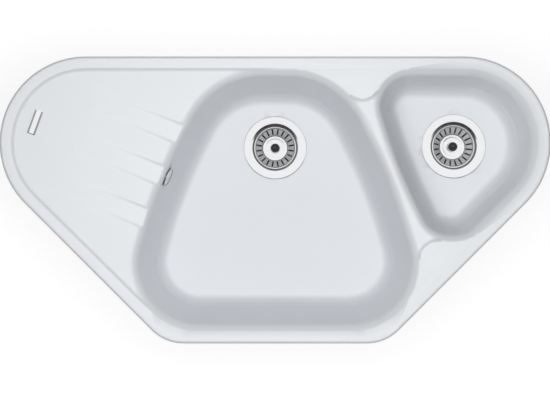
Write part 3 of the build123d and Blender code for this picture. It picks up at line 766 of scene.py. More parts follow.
def tube(name: str, outer: float, inner: float, low: float, high: float, edge: float = 0.4) -> Piece:
    """A ring on Z with bevelled rims.

    Args:
        name: The piece's name.
        outer: Its outer radius, in millimetres.
        inner: Its bore's radius.
        low: The height of its foot.
        high: The height of its top.
        edge: The width of its bevels.

    Returns:
        The ring.
    """
    half = edge / 2
    outside = [(outer, low + edge), (outer, high - edge), (outer - edge, high)]
    bore = [(inner + half, high), (inner, high - half), (inner, low + half), (inner + half, low)]
    return turned(name, [*outside, *bore, (outer - edge, low)], 64)


def screw_thread(name: str, root: float, depth: float, pitch: float, low: float, turns: int) -> Piece:
    """The ridge of a thread on Z.

    Args:
        name: The piece's name.
        root: The radius of the thread's root, in millimetres.
        depth: The height of the ridge over the root.
        pitch: The rise of one turn.
        low: The height at which it starts.
        turns: The number of turns.

    Returns:
        The ridge, closed at both ends.
    """
    deselect()
    start = ((root + depth / 3) * MM, 0, low * MM)
    bpy.ops.mesh.primitive_circle_add(
        vertices=3, radius=depth * 2 / 3 * MM, location=start, rotation=(math.pi / 2, math.pi / 2, 0)
    )
    ridge = bpy.context.object
    ridge.name = name
    bpy.ops.object.transform_apply(location=True, rotation=True)
    reach = max(vertex.co.x for vertex in ridge.data.vertices)
    for vertex in ridge.data.vertices:
        vertex.co.x += (root + depth) * MM - reach
    apply_modifier(
        ridge, "SCREW", axis="Z", screw_offset=pitch * MM, iterations=turns, steps=48, render_steps=48
    )
    with editing(ridge):
        bpy.ops.mesh.fill_holes(sides=0)
        bpy.ops.mesh.normals_make_consistent(inside=False)
    return ridge


def facing(point: Vector, way: Vector) -> Matrix:
    """The place of what is modelled at the origin along Z, when it points another way.

    Args:
        point: Where its origin goes, in metres.
        way: Where its Z goes.

    Returns:
        Its place.
    """
    z_axis = way.normalized()
    x_axis = Vector((z_axis.y, -z_axis.x, 0)).normalized() if z_axis.xy.length > 1e-6 else Vector((1, 0, 0))
    turn = Matrix((x_axis, z_axis.cross(x_axis), z_axis)).transposed().to_4x4()
    return Matrix.Translation(point) @ turn


def turn_about_z(degrees: float) -> Matrix:
    """A turn about Z."""
    return Matrix.Rotation(math.radians(degrees), 4, "Z")


def moved(piece: Piece, place: Matrix) -> Piece:
    """Put a piece that was made at the origin in its place.

    Args:
        piece: The piece.
        place: Its place and turn, in metres.

    Returns:
        The same piece.
    """
    piece.matrix_world = place @ piece.matrix_world
    activate(piece)
    bpy.ops.object.transform_apply(location=True, rotation=True, scale=True)
    return piece


def copied(piece: Piece, name: str, place: Matrix) -> Piece:
    """A copy of a piece with its own mesh, put in its place.

    Args:
        piece: The piece to copy.
        name: The copy's name.
        place: Its place and turn from the first piece's, in metres.

    Returns:
        The copy.
    """
    copy = piece.copy()
    copy.data = piece.data.copy()
    copy.name = name
    bpy.context.scene.collection.objects.link(copy)
    return moved(copy, place)


def ring_of(piece: Piece, turns: Sequence[float]) -> list[Piece]:
    """Copies of a piece round Z, in the place of the piece itself.

    Args:
        piece: The piece to repeat, which is dropped.
        turns: The copies' turns, in degrees.

    Returns:
        The copies.
    """
    copies = [copied(piece, piece.name, turn_about_z(turn)) for turn in turns]
    bpy.data.objects.remove(piece)
    return copies


def joined(pieces: Sequence[Piece], name: str) -> Piece:
    """Make one piece of several.

    Args:
        pieces: The pieces to join.
        name: The name of the whole.

    Returns:
        The whole.
    """
    deselect()
    for piece in pieces:
        piece.select_set(True)
    bpy.context.view_layer.objects.active = pieces[0]
    bpy.ops.object.join()
    whole = bpy.context.object
    whole.name = name
    return whole


def finish_piece(piece: Piece, finish: Finish, body: str, replaced: Sequence[str] = ()) -> None:
    """Give a piece its finish, its body and its place in the record.

    Args:
        piece: The finished piece.
        finish: Its finish.
        body: The body that it rides.
        replaced: CAD nodes that it stands for.
    """
    piece.data.materials.clear()
    piece.data.materials.append(finish.material())
    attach(piece, body)
    if replaced:
        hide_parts(*replaced)
    LOG.info("%s: %d faces on %s", piece.name, len(piece.data.polygons), body)


def trim(piece: Piece, finish: Finish, test: FaceTest) -> None:
    """Give some faces of a finished piece another finish.

    Args:
        piece: The finished piece.
        finish: The finish of those faces.
        test: Says from a face's centre and normal whether it is wanted.
    """
    piece.data.materials.append(finish.material())
    with editing(piece):
        count = select_faces(piece, test)
        piece.active_material_index = len(piece.data.materials) - 1
        bpy.ops.object.material_slot_assign()
    LOG.info("%s: %d faces in %s", piece.name, count, finish.name)


# ---------------------------------------------------------------- sub-assemblies
@dataclass
class Body:
    """The moulded body with its rim, drainer, ledges and two bowls."""

    nodes: Mapping[str, Piece]
    smooth_angle: float = 32.0
    flat_weight: int = 80

    def build(self) -> None:
        """Make the body from a merged copy of its solid, smoothly shaded."""
        solid = self.nodes["sink_body"]
        piece = solid.copy()
        piece.data = solid.data.copy()
        for key in list(piece.keys()):
            del piece[key]
        piece.name = "moulded_body"
        piece.parent = None
        bpy.context.scene.collection.objects.link(piece)
        with editing(piece):
            bpy.ops.mesh.remove_doubles(threshold=MERGE_WITHIN)
        smooth(piece, self.smooth_angle)
        apply_modifier(piece, "WEIGHTED_NORMAL", keep_sharp=True, weight=self.flat_weight)
        finish_piece(piece, COMPOSITE, "sink", ["sink_body"])


class Bowl(Enum):
    """The two bowls, each with the middle of its drain at the bowl's floor, in millimetres."""

    MAIN = (0.0, 95.0, -192.0)
    SMALL = (320.0, 96.0, -122.0)

    @property
    def label(self) -> str:
        """The bowl's name in the names of bodies and pieces."""
        return self.name.lower()

    @property
    def drain(self) -> Vector:
        """The middle of the drain, in metres."""
        return Vector(self.value) * MM

    @property
    def place(self) -> Matrix:
        """The place of what is modelled with the drain at the origin."""
        return Matrix.Translation(self.drain)


# The cup's spider and the waste's ribs under it stand at the same turns, in degrees.
SPIDER_TURNS = (90.0, 210.0, 330.0)


@dataclass
class Strainer:
    """A bowl's strainer: flanged cup, slotted lift-out basket, and the knob that pulls its stopper.

    Heights are over the bowl's floor at the drain.
    """

    bowl: Bowl
    flange_r: float = 57.0
    cup_depth: float = 54.0
    cup_sheet: float = 1.2
    mouth_top: float = -1.4
    mouth_foot: float = -12.0
    well_top: float = -13.0
    outlet_r: float = 17.5
    hub_r: float = 6.5
    arm_width: float = 5.0
    basket_depth: float = 40.0
    cone_r: float = 35.0
    cone_top: float = -12.6
    cone_rows: int = 6
    floor_r: float = 22.5
    sheet: float = 0.9
    slots: int = 20
    faces_per_slot: int = 8
    slot_width: float = 2.7
    slot_inner_r: float = 23.9
    slot_outer_r: float = 34.6
    slot_slack: float = 0.02
    bar_crown: float = 0.35
    bar_end: float = 1.6
    knob_low: float = -37.8
    knob_top: float = -11.8
    knob_head: float = 6.0
    waist_curve: float = 17.2
    dome_curve: float = 8.33

    @property
    def steel(self) -> TurnedSteel:
        """Steel that was turned about this drain's axis."""
        return TurnedSteel(
            f"{self.bowl.label}_turned_steel", (0.88, 0.885, 0.9), 0.13, centre=tuple(self.bowl.drain)
        )

    def build(self) -> None:
        """Make the cup, the basket with its bush and ring, the knob and the stopper."""
        self.build_cup()
        self.build_basket()
        self.build_ring()
        self.build_knob()
        self.build_bush()
        self.build_stopper()

    def fit(
        self, piece: Piece, smooth_angle: float, finish: Finish, rides: str, node: str
    ) -> None:
        """Set a piece that was made with the drain at the origin in its bowl, and finish it.

        Args:
            piece: The piece.
            smooth_angle: Edges sharper than this stay sharp, in degrees.
            finish: Its finish.
            rides: What it moves with: the sink, or the bowl's basket or stopper.
            node: The CAD node that it stands for, without the bowl's name.
        """
        label = self.bowl.label
        moved(piece, self.bowl.place)
        settle(piece, smooth_angle)
        body = rides if rides == "sink" else f"{label}_{rides}"
        finish_piece(piece, finish, body, [f"{label}_{node}"])

    def build_cup(self) -> None:
        """Turn the cup with its flange and funnel mouth, and set the spider over its outlet."""
        low = -self.cup_depth
        under = low - self.cup_sheet
        rim = self.flange_r
        flange = [(rim, -self.cup_sheet), (rim, -0.4), (56.85, -0.15), (56.5, 0.0), (55.0, 0.0)]
        funnel = [(46.0, -0.4), (44.4, -0.5), (43.7, -0.62), (43.4, -0.72), (41.7, -1.2), (41.4, -1.36)]
        mouth = [(41.2, -1.8), (41.0, -2.4), (39.2, -11.2), (39.0, self.mouth_foot)]
        ledge = [(38.6, -12.1), (36.9, -12.1), (36.5, -12.4), (36.3, -13.2)]
        corner = arc((29.3, low + 4.0), 4.0, -5.0, -90.0, 6)
        outlet = [(self.outlet_r + 0.4, low), (self.outlet_r, low - 0.4), (self.outlet_r, under)]
        outside = [(34.0, under), (37.6, -13.2), (40.2, -13.2), (43.6, -self.cup_sheet)]
        section = [*flange, *funnel, *mouth, *ledge, *corner, *outlet, *outside]
        cup = turned(f"{self.bowl.label}_cup", section, 128)
        hub_side = [(self.hub_r - 0.3, low), (self.hub_r, low - 0.3), (self.hub_r, under)]
        hub = turned("hub", [(3.1, low), *hub_side, (3.1, under)], 32)
        reach = self.outlet_r - 4.6
        arm = block("arm", (reach, self.arm_width, self.cup_sheet), (5.6 + reach / 2, 0.0, (low + under) / 2))
        cup = joined([cup, hub, *ring_of(arm, SPIDER_TURNS)], cup.name)
        self.fit(cup, 35.0, self.steel, "sink", "strainer_cup")
        drain = self.bowl.drain

        def in_well(centre: Vector, normal: Vector) -> bool:
            """Whether a face is on the cup's inside, under the ledge for the basket."""
            return (centre - drain).z < self.well_top * MM and normal.z > -0.05

        def on_mouth(centre: Vector, normal: Vector) -> bool:
            """Whether a face is on the steep wall over that ledge."""
            out = centre - drain
            return self.mouth_foot * MM < out.z < self.mouth_top * MM and out.dot(normal) < 0

        # Painted shade: the well under the ledge is near-black steel.
        trim(cup, DULL_STEEL_PAINTED_SHADE, in_well)
        # Painted shade and dark reflection: the mouth's steep wall is darker steel.
        trim(cup, PAINTED_SHADE_STEEL, on_mouth)

    def basket_section(self) -> list[Point]:
        """The inside of the basket from the curl of its rim down the cone to the hole for the bush.

        Returns:
            Radii and heights.
        """
        low = -self.basket_depth
        lean = (self.cone_r - self.floor_r) / (self.basket_depth + self.cone_top)
        curl = [(38.4, -11.5), (38.65, -11.2), (38.7, -10.5), (38.6, -10.05), (38.3, -9.8), (37.9, -9.75)]
        shoulder = [(36.9, -9.75), (36.4, -9.9), (36.0, -10.3), (35.5, -11.2), (35.2, -11.9)]
        cone = [(self.cone_r, self.cone_top)]
        for row in range(self.cone_rows + 1):
            radius = self.slot_outer_r + (self.slot_inner_r - self.slot_outer_r) * row / self.cone_rows
            cone.append((radius, low + (radius - self.floor_r) / lean))
        corner = [(23.5, -38.1), (23.2, -38.8), (22.7, -39.3), (21.9, -39.45), (18.9, -39.45)]
        floor = [(18.4, -39.5), (16.3, -39.96), (15.8, low), (9.0, low), (4.95, low)]
        return [*curl, *shoulder, *cone, *corner, *floor]

    def beside_slots(self, radius: float) -> bool:
        """Whether a radius in millimetres lies between the slots' ends."""
        return self.slot_inner_r - self.slot_slack < radius < self.slot_outer_r + self.slot_slack

    def build_basket(self) -> None:
        """Turn the basket as a sheet, punch its slots, and give it its thickness."""
        label = self.bowl.label
        steps = self.slots * self.faces_per_slot
        basket = turned(f"{label}_basket_shell", self.basket_section(), steps, closed=False)
        self.face_inwards(basket)
        pitch = 360.0 / self.slots
        half_face = pitch / self.faces_per_slot

        def in_slot(centre: Vector, normal: Vector) -> bool:
            """Whether a face of the cone lies on a slot."""
            turn = math.degrees(math.atan2(centre.y, centre.x)) % pitch
            return self.beside_slots(centre.xy.length / MM) and abs(turn - pitch / 2) < half_face

        with editing(basket):
            count = select_faces(basket, in_slot)
            bpy.ops.mesh.delete(type="FACE")
        LOG.info("%s basket: %d faces punched", label, count)
        self.shape_bars(basket, pitch, half_face)
        apply_modifier(basket, "SOLIDIFY", thickness=self.sheet * MM, offset=-1.0, use_even_offset=True)
        bevel(basket, 0.16, 50.0)
        moved(basket, self.bowl.place)
        smooth(basket, 40.0)
        finish_piece(basket, self.steel, f"{label}_basket", [f"{label}_strainer_basket"])
        drain = self.bowl.drain

        def on_bar(centre: Vector, normal: Vector) -> bool:
            """Whether a face of the basket's inside lies between two slots."""
            reach = (centre - drain).xy.length / MM
            return self.slot_inner_r < reach < self.slot_outer_r and normal.z > 0.2

        trim(basket, SATIN_STEEL, on_bar)

    @staticmethod
    def face_inwards(basket: Piece) -> None:
        """Turn the sheet's faces to the basket's inside, so that the thickness goes outwards.

        Args:
            basket: The open sheet.
        """
        floor = min(basket.data.polygons, key=lambda face: face.center.z)
        if floor.normal.z < 0:
            with editing(basket):
                bpy.ops.mesh.flip_normals()

    def shape_bars(self, basket: Piece, pitch: float, half_face: float) -> None:
        """Make the slots parallel, and crown the bars between them.

        Args:
            basket: The punched sheet.
            pitch: Degrees from slot to slot.
            half_face: Degrees from a slot's middle to its edge before.
        """
        for vertex in basket.data.vertices:
            radius = math.hypot(vertex.co.x, vertex.co.y) / MM
            if not self.beside_slots(radius):
                continue
            angle = math.degrees(math.atan2(vertex.co.y, vertex.co.x))
            slot = (math.floor(angle / pitch) + 0.5) * pitch
            side = angle - slot
            edge = math.degrees(math.asin(self.slot_width / 2 / radius))
            if abs(abs(side) - half_face) < half_face / 20:
                side = math.copysign(edge, side)
            across = (abs(side) - edge) / (pitch / 2 - edge)
            from_end = min(radius - self.slot_inner_r, self.slot_outer_r - radius) / self.bar_end
            crown = self.bar_crown * (1 - (1 - across) ** 2) * max(0.0, min(1.0, from_end))
            turned_to = math.radians(slot + side)
            reach = (radius - crown) * MM
            vertex.co.x = reach * math.cos(turned_to)
            vertex.co.y = reach * math.sin(turned_to)

    def build_ring(self) -> None:
        """Turn the ring that is pressed round the bush."""
        low = -self.basket_depth
        outside = [(8.6, low), (8.6, -39.65), (8.35, -39.3), (7.8, -39.2)]
        ring = turned(f"{self.bowl.label}_ring", [*outside, (5.3, -39.2), (4.95, -39.45), (4.95, low)], 64)
        self.fit(ring, 50.0, self.steel, "basket", "bush_ring")

    def build_knob(self) -> None:
        """Turn the knob: a foot, a waist, and a domed head with a fine groove under its brow."""
        low, top = self.knob_low, self.knob_top
        foot = [(3.2, low), (7.1, low), (7.5, low + 0.25), (7.55, low + 0.8)]
        waist = arc((21.8, (low + top - self.knob_head) / 2), self.waist_curve, 211.0, 149.5, 14)
        brow = [(7.5, -18.75), (7.75, -18.5), (7.95, -18.2)]
        dome = [*arc((0.0, top - self.dome_curve), self.dome_curve, 15.0, 86.0, 12), (0.0, top)]
        knob = turned_solid(f"{self.bowl.label}_knob", [*foot, *waist, *brow, *dome], 72)
        self.fit(knob, 40.0, BLACK_PLASTIC, "stopper", "pull_knob")

    def build_bush(self) -> None:
        """Turn the flanged bush in which the stem slides."""
        outside = [(8.0, -41.8), (8.0, -41.2), (7.7, -40.9), (4.9, -40.9), (4.9, -38.5), (4.5, -38.1)]
        bore = [(3.08, -38.1), (3.08, -42.1), (7.7, -42.1)]
        bush = turned(f"{self.bowl.label}_bush", [*outside, *bore], 48)
        self.fit(bush, 35.0, BLACK_PLASTIC, "basket", "basket_bush")

    def build_stopper(self) -> None:
        """Turn the stopper's plate with its stem, and the lipped seal under it."""
        plate = [(22.3, -49.7), (22.8, -49.5), (23.0, -49.1), (22.8, -48.6), (22.2, -48.3), (19.0, -48.2)]
        shaft = [(3.0, -48.2), (3.0, -25.8), (0.0, -25.8)]
        stem = turned_solid(f"{self.bowl.label}_stem", [*plate, *shaft], 64)
        self.fit(stem, 35.0, self.steel, "stopper", "stopper_stem")
        outside = [(19.2, -49.7), (22.8, -49.7), (23.0, -50.0), (23.0, -51.2), (22.6, -52.3), (21.8, -53.3)]
        lip = [(21.0, -53.7), (20.4, -53.6), (19.4, -52.4), (19.0, -51.4), (19.0, -50.0)]
        seal = turned(f"{self.bowl.label}_seal", [*outside, *lip], 96)
        self.fit(seal, 40.0, BLACK_RUBBER, "stopper", "stopper_seal")


@dataclass
class Overflow:
    """The overflow of the main bowl: cap and screw on its left wall, elbow, pipe and nuts behind it.

    Cap, screw and elbow are modelled with the wall's inside at Z = 0 and the bowl above it.
    """

    origin: Triple = (-190.168, 41.0, -30.0)
    facing: Triple = (0.915793, -0.376767, 0.139173)
    cap_r: float = 17.5
    rim_r: float = 16.3
    dish_r: float = 14.0
    cap_back: float = 3.0
    stand: float = 2.4
    foot_circle_r: float = 15.2
    foot_r: float = 1.5
    screw_seat: float = 4.0
    screw_r: float = 4.2
    gasket_back: float = -10.0
    chamber_r: float = 14.4
    chamber_bore_r: float = 12.0
    chamber_floor: float = -23.6
    elbow_centre: Triple = (-213.063, 50.4192, -33.4793)
    socket_r: float = 12.2
    socket_end: float = 29.2
    socket_grip: float = 16.0
    bore_r: float = 8.2
    pipe_r: float = 10.0
    groove_r: float = 8.95
    rib_r: float = 9.9
    pipe_end: Triple = (-54.2257, 83.6539, -222.0)
    bend_r: float = 32.0
    cuff: float = 22.0
    ring_pitch: float = 5.2
    nut_length: float = 12.0
    nut_gap: float = 4.0

    @property
    def place(self) -> Matrix:
        """The place of what is modelled on the wall's inside, facing up."""
        return facing(Vector(self.origin) * MM, Vector(self.facing))

    def build(self) -> None:
        """Make the cap and its screw, and the elbow, pipe and nuts behind the wall."""
        self.build_cap()
        self.build_screw()
        self.build_elbow()
        self.build_pipe()
        self.build_nuts()

    def build_cap(self) -> None:
        """Turn the dished cap, and set it on its feet."""
        low = self.stand
        cap_r = self.cap_r
        side = [(2.1, low), (cap_r - 0.3, low), (cap_r, low + 0.25), (cap_r, 3.6), (17.4, 4.0), (17.1, 4.3)]
        rim = [(16.7, 4.46), (self.rim_r, 4.5), (15.7, 4.3), (14.6, 3.62), (self.dish_r, 3.36)]
        dish = [(13.3, 3.24), (12.4, 3.2), (9.0, 3.28), (7.2, 3.5), (6.0, 3.86), (5.0, 3.98), (2.1, 3.98)]
        cap = turned("overflow_cap", [*side, *rim, *dish], 96)
        foot = rod("foot", self.foot_r, 0.2, low + 0.1, 24)
        moved(foot, Matrix.Translation((self.foot_circle_r * MM, 0, 0)))
        cap = joined([cap, *ring_of(foot, (30.0, 150.0, 270.0))], cap.name)
        moved(cap, self.place)
        settle(cap, 35.0)
        finish_piece(cap, STEEL, "sink", ["overflow_cover"])
        back = self.place.inverted()

        def in_rim(centre: Vector, normal: Vector) -> bool:
            """Whether a face slopes from the cap's rim down to its dish."""
            local = back @ centre
            return self.dish_r * MM < local.xy.length < self.rim_r * MM and local.z > self.cap_back * MM

        # Painted shade and dark reflection: the slope from the cap's rim down to its dish is darker steel.
        trim(cap, PAINTED_SHADE_STEEL, in_rim)

    def build_screw(self) -> None:
        """Turn the screw and cut the cross in its head."""
        seat, top = self.screw_seat, self.screw_seat + 1.8
        shank = [(1.4, -25.0), (2.0, -24.2), (2.0, seat)]
        head = [(self.screw_r, seat), (self.screw_r, seat + 0.7), (4.0, seat + 1.15), (3.3, seat + 1.55)]
        crown = [(2.2, seat + 1.75), (1.0, top), (0.0, top)]
        screw = turned_solid("overflow_cap_screw", [*shank, *head, *crown], 48)
        for slot in ring_of(block("slot", (4.6, 0.9, 2.4), (0.0, 0.0, seat + 2.0)), (20.0, 110.0)):
            cut_away(screw, slot)
        moved(screw, self.place)
        settle(screw, 35.0)
        finish_piece(screw, STEEL, "sink", ["overflow_screw"])

    def build_elbow(self) -> None:
        """Make the chamber behind the wall: flange, cup with a rounded back, ribs, and a socket downwards."""
        back = self.gasket_back
        end = self.socket_end
        section = [(self.chamber_r, back), *arc((self.chamber_r - 2.5, back - 23.5), 2.5, 0.0, -90.0, 6)]
        elbow = turned_solid("overflow_chamber", section, 64)
        fuse(elbow, tube("flange", 19.0, 9.0, back - 3.0, back, 0.5))
        rib = block("rib", (5.5, 2.0, 7.0), (16.0, 0.0, back - 5.5))
        with editing(rib):
            select_faces(rib, lambda centre, normal: normal.x > 0.9)
            bpy.ops.transform.resize(value=(1, 1, 0.2), center_override=(0, 0, (back - 2.0) * MM))
        ribs = ring_of(rib, (45.0, 135.0, 225.0, 315.0))
        for piece in (elbow, *ribs):
            moved(piece, self.place)
        down = facing(Vector(self.elbow_centre) * MM, Vector((0, 0, -1)))
        fuse(elbow, moved(rod("socket", self.socket_r, 0.0, end), down))
        chamber = rod("bore", self.chamber_bore_r, back + self.chamber_floor, back + 5.0)
        cut_away(elbow, moved(chamber, self.place))
        cut_away(elbow, moved(rod("bore", self.bore_r, 0.0, end + 5.0), down))
        cut_away(elbow, moved(rod("pocket", self.pipe_r, end - self.socket_grip, end + 5.0), down))
        boss = moved(tube("boss", 4.5, 2.0, back - 24.8, back - 9.3, 0.3), self.place)
        elbow = joined([elbow, boss, *ribs], elbow.name)
        settle(elbow, 35.0)
        finish_piece(elbow, WHITE_PLASTIC, "sink", ["overflow_elbow"])

    def build_pipe(self) -> None:
        """Turn the ribbed pipe straight, and bend it down and across to the waste body."""
        start = Vector(self.elbow_centre) - Vector((0, 0, self.socket_end - self.socket_grip))
        end = Vector(self.pipe_end)
        corner = Vector((start.x, start.y, end.z))
        across = (end - corner).normalized()
        upper = corner + Vector((0, 0, self.bend_r))
        lower = corner + across * self.bend_r
        length = (start - upper).length + self.bend_r * math.pi / 2 + (end - lower).length
        section = [(self.pipe_r, 0.0), (self.pipe_r, self.cuff)]
        rings = int((length - 2 * self.cuff) / self.ring_pitch)
        pitch = (length - 2 * self.cuff) / rings
        for ring in range(rings):
            low = self.cuff + ring * pitch
            section += [(self.groove_r, low + 0.2 * pitch), (self.groove_r, low + 0.5 * pitch)]
            section += [(self.rib_r, low + 0.7 * pitch), (self.rib_r, low + pitch)]
        section.append((self.pipe_r, length))
        pipe = turned_solid("ribbed_overflow_pipe", section, 40)
        down = Vector((0, 0, -1))
        handle = self.bend_r * QUARTER_ARC_HANDLE
        stations = [(start, down, 10.0, 30.0), (upper, down, 30.0, handle)]
        stations += [(lower, across, handle, 30.0), (end, across, 30.0, 10.0)]
        guide = self.lay_route(stations)
        apply_modifier(pipe, "CURVE", object=guide, deform_axis="POS_Z")
        bpy.data.objects.remove(guide)
        settle(pipe, 25.0)
        finish_piece(pipe, WHITE_PLASTIC, "sink", ["overflow_pipe"])

    @staticmethod
    def lay_route(stations: Sequence[tuple[Vector, Vector, float, float]]) -> Piece:
        """Draw the middle line of a pipe.

        Args:
            stations: Each one's place, way, and handles before and after it, in millimetres.

        Returns:
            The curve.
        """
        route = bpy.data.curves.new("pipe_route", "CURVE")
        route.dimensions = "3D"
        route.resolution_u = 24
        spline = route.splines.new("BEZIER")
        spline.bezier_points.add(len(stations) - 1)
        for point, (place, way, before, after) in zip(spline.bezier_points, stations):
            point.co = place * MM
            point.handle_left = (place - way * before) * MM
            point.handle_right = (place + way * after) * MM
        guide = bpy.data.objects.new("pipe_route", route)
        bpy.context.scene.collection.objects.link(guide)
        return guide

    def build_nuts(self) -> None:
        """Turn one grooved nut, and set it over the elbow's socket and over the waste body's port."""
        bore = self.socket_r
        outside = [(15.0, 0.0), (15.6, 0.6), (15.6, 10.2), (14.4, self.nut_length)]
        nut = turned("nut", [*outside, (12.9, self.nut_length), (bore, 11.3), (bore, 0.0)], 96)

        def on_grip(centre: Vector, normal: Vector) -> bool:
            """Whether a face of the nut's wall lies in a grip's groove."""
            turn = math.degrees(math.atan2(centre.y, centre.x)) % 30.0
            return abs(normal.z) < 0.1 and centre.xy.length > 14.0 * MM and abs(turn - 15.0) < 4.0

        with editing(nut):
            select_faces(nut, on_grip)
            bpy.ops.transform.resize(value=(0.94, 0.94, 1), center_override=(0, 0, 0))
        bevel(nut, 0.25, 28.0)
        down = Vector((0, 0, -1))
        port = Vector(self.pipe_end) - Vector(self.elbow_centre)
        port.z = 0.0
        port.normalize()
        upper = Vector(self.elbow_centre) * MM + down * (self.socket_end - self.nut_length) * MM
        lower = (Vector(self.pipe_end) - port * self.nut_gap) * MM
        places = {"upper_pipe_nut": facing(upper, down), "lower_pipe_nut": facing(lower, -port)}
        for node, place in places.items():
            piece = copied(nut, f"{node}_grooved", place)
            settle(piece, 30.0)
            finish_piece(piece, WHITE_PLASTIC, "sink", [node])
        bpy.data.objects.remove(nut)


@dataclass
class Waste:
    """The white moulding under a bowl's drain, with its threaded outlet. Heights are as in the strainer."""

    bowl: Bowl
    port_angle: float | None = None
    port_height: float = -30.0
    port_root: float = 47.9
    port_face: float = 71.4
    outer_r: float = 57.0
    bore_r: float = 46.4
    outlet_r: float = 22.6
    outlet_bore_r: float = 20.0
    outlet_end: float = -111.0
    gussets: int = 12

    def build(self) -> None:
        """Turn the shell, open its port, and add the hub, the ribs, the gussets and the thread."""
        label = self.bowl.label
        shell = turned(f"{label}_waste_moulding", self.shell_section(), 128)
        if self.port_angle is not None:
            self.open_port(shell)
        hub_outside, hub_bore = [(9.0, -76.0), (9.0, -87.0)], [(3.0, -87.0), (3.0, -84.0)]
        hub = turned("hub", [*hub_outside, *hub_bore, (6.0, -84.0), (6.0, -76.0)], 48)
        ribs = ring_of(block("rib", (14.0, 4.0, 8.0), (15.0, 0.0, -80.0)), SPIDER_TURNS)
        gusset = block("gusset", (6.6, 2.4, 13.0), (52.0, 0.0, -21.0))
        with editing(gusset):
            select_faces(gusset, lambda centre, normal: normal.x > 0.9)
            bpy.ops.transform.resize(value=(1, 1, 0.12), center_override=(0, 0, -14.6 * MM))
        bevel(gusset, 0.3)
        step = 360.0 / self.gussets
        turns = [step * (number + 0.5) for number in range(self.gussets)]
        if self.port_angle is not None:
            turns = [turn for turn in turns if abs(turn - self.port_angle) > step / 2]
        thread = screw_thread("thread", self.outlet_r - 0.05, 1.25, 2.309, -109.4, 11)
        whole = joined([shell, hub, *ribs, *ring_of(gusset, turns), thread], shell.name)
        moved(whole, self.bowl.place)
        settle(whole, 32.0)
        nodes = [f"{label}_waste_body", f"{label}_outlet_tube"]
        finish_piece(whole, WHITE_PLASTIC, "sink", nodes)

    def shell_section(self) -> list[Point]:
        """The moulding's outside from its rim down to the outlet, and back up through its bore.

        Returns:
            Radii and heights.
        """
        outer, bore = self.outer_r, self.bore_r
        outlet, outlet_bore, end = self.outlet_r, self.outlet_bore_r, self.outlet_end
        rim = [(outer - 0.6, -11.0), (outer, -11.6), (outer, -14.4), (outer - 0.6, -15.0)]
        wall = [*arc((51.4, -17.0), 2.0, 90.0, 180.0, 4), *arc((44.4, -48.16), 5.0, 0.0, -40.4, 5)]
        neck = [*arc((27.9, -81.47), 4.0, 139.6, 180.0, 4), (23.9, -82.4), (23.6, -82.8), (outlet, -83.2)]
        foot = [(outlet, -109.6), (21.6, end), (20.4, end), (outlet_bore, end + 0.4), (outlet_bore, -77.0)]
        inside = [(bore, -47.0), (bore, -11.4), (bore + 0.4, -11.0)]
        return [*rim, *wall, *neck, *foot, *inside]

    def open_port(self, shell: Piece) -> None:
        """Add the side socket for the overflow pipe, and bore it through.

        Args:
            shell: The turned shell, with the bowl's floor at Z = 0.
        """
        angle = math.radians(self.port_angle)
        place = facing(Vector((0, 0, self.port_height * MM)), Vector((math.cos(angle), math.sin(angle), 0)))
        past = self.port_face + 3.6
        grip = self.port_face - Overflow.socket_grip
        fuse(shell, moved(rod("socket", Overflow.socket_r, self.port_root, self.port_face), place))
        cut_away(shell, moved(rod("bore", Overflow.bore_r, 34.0, past), place))
        cut_away(shell, moved(rod("pocket", Overflow.pipe_r, grip, past), place))


def build_waste_bolts() -> None:
    """Turn one waste bolt with a slotted head, and set it in both strainers."""
    shank = [(2.4, -84.0), (3.0, -83.2), (3.0, -54.0)]
    head = [(5.0, -54.0), (5.0, -52.2), (4.4, -51.3), (3.2, -51.0), (0.0, -51.0)]
    bolt = turned_solid("bolt", [*shank, *head], 40)
    cut_away(bolt, block("slot", (11.0, 1.2, 2.6), (0.0, 0.0, -50.8)))
    pieces = [copied(bolt, "bolt", bowl.place) for bowl in Bowl]
    bpy.data.objects.remove(bolt)
    whole = joined(pieces, "slotted_waste_bolts")
    settle(whole, 35.0)
    finish_piece(whole, STEEL, "sink", ["waste_bolts"])


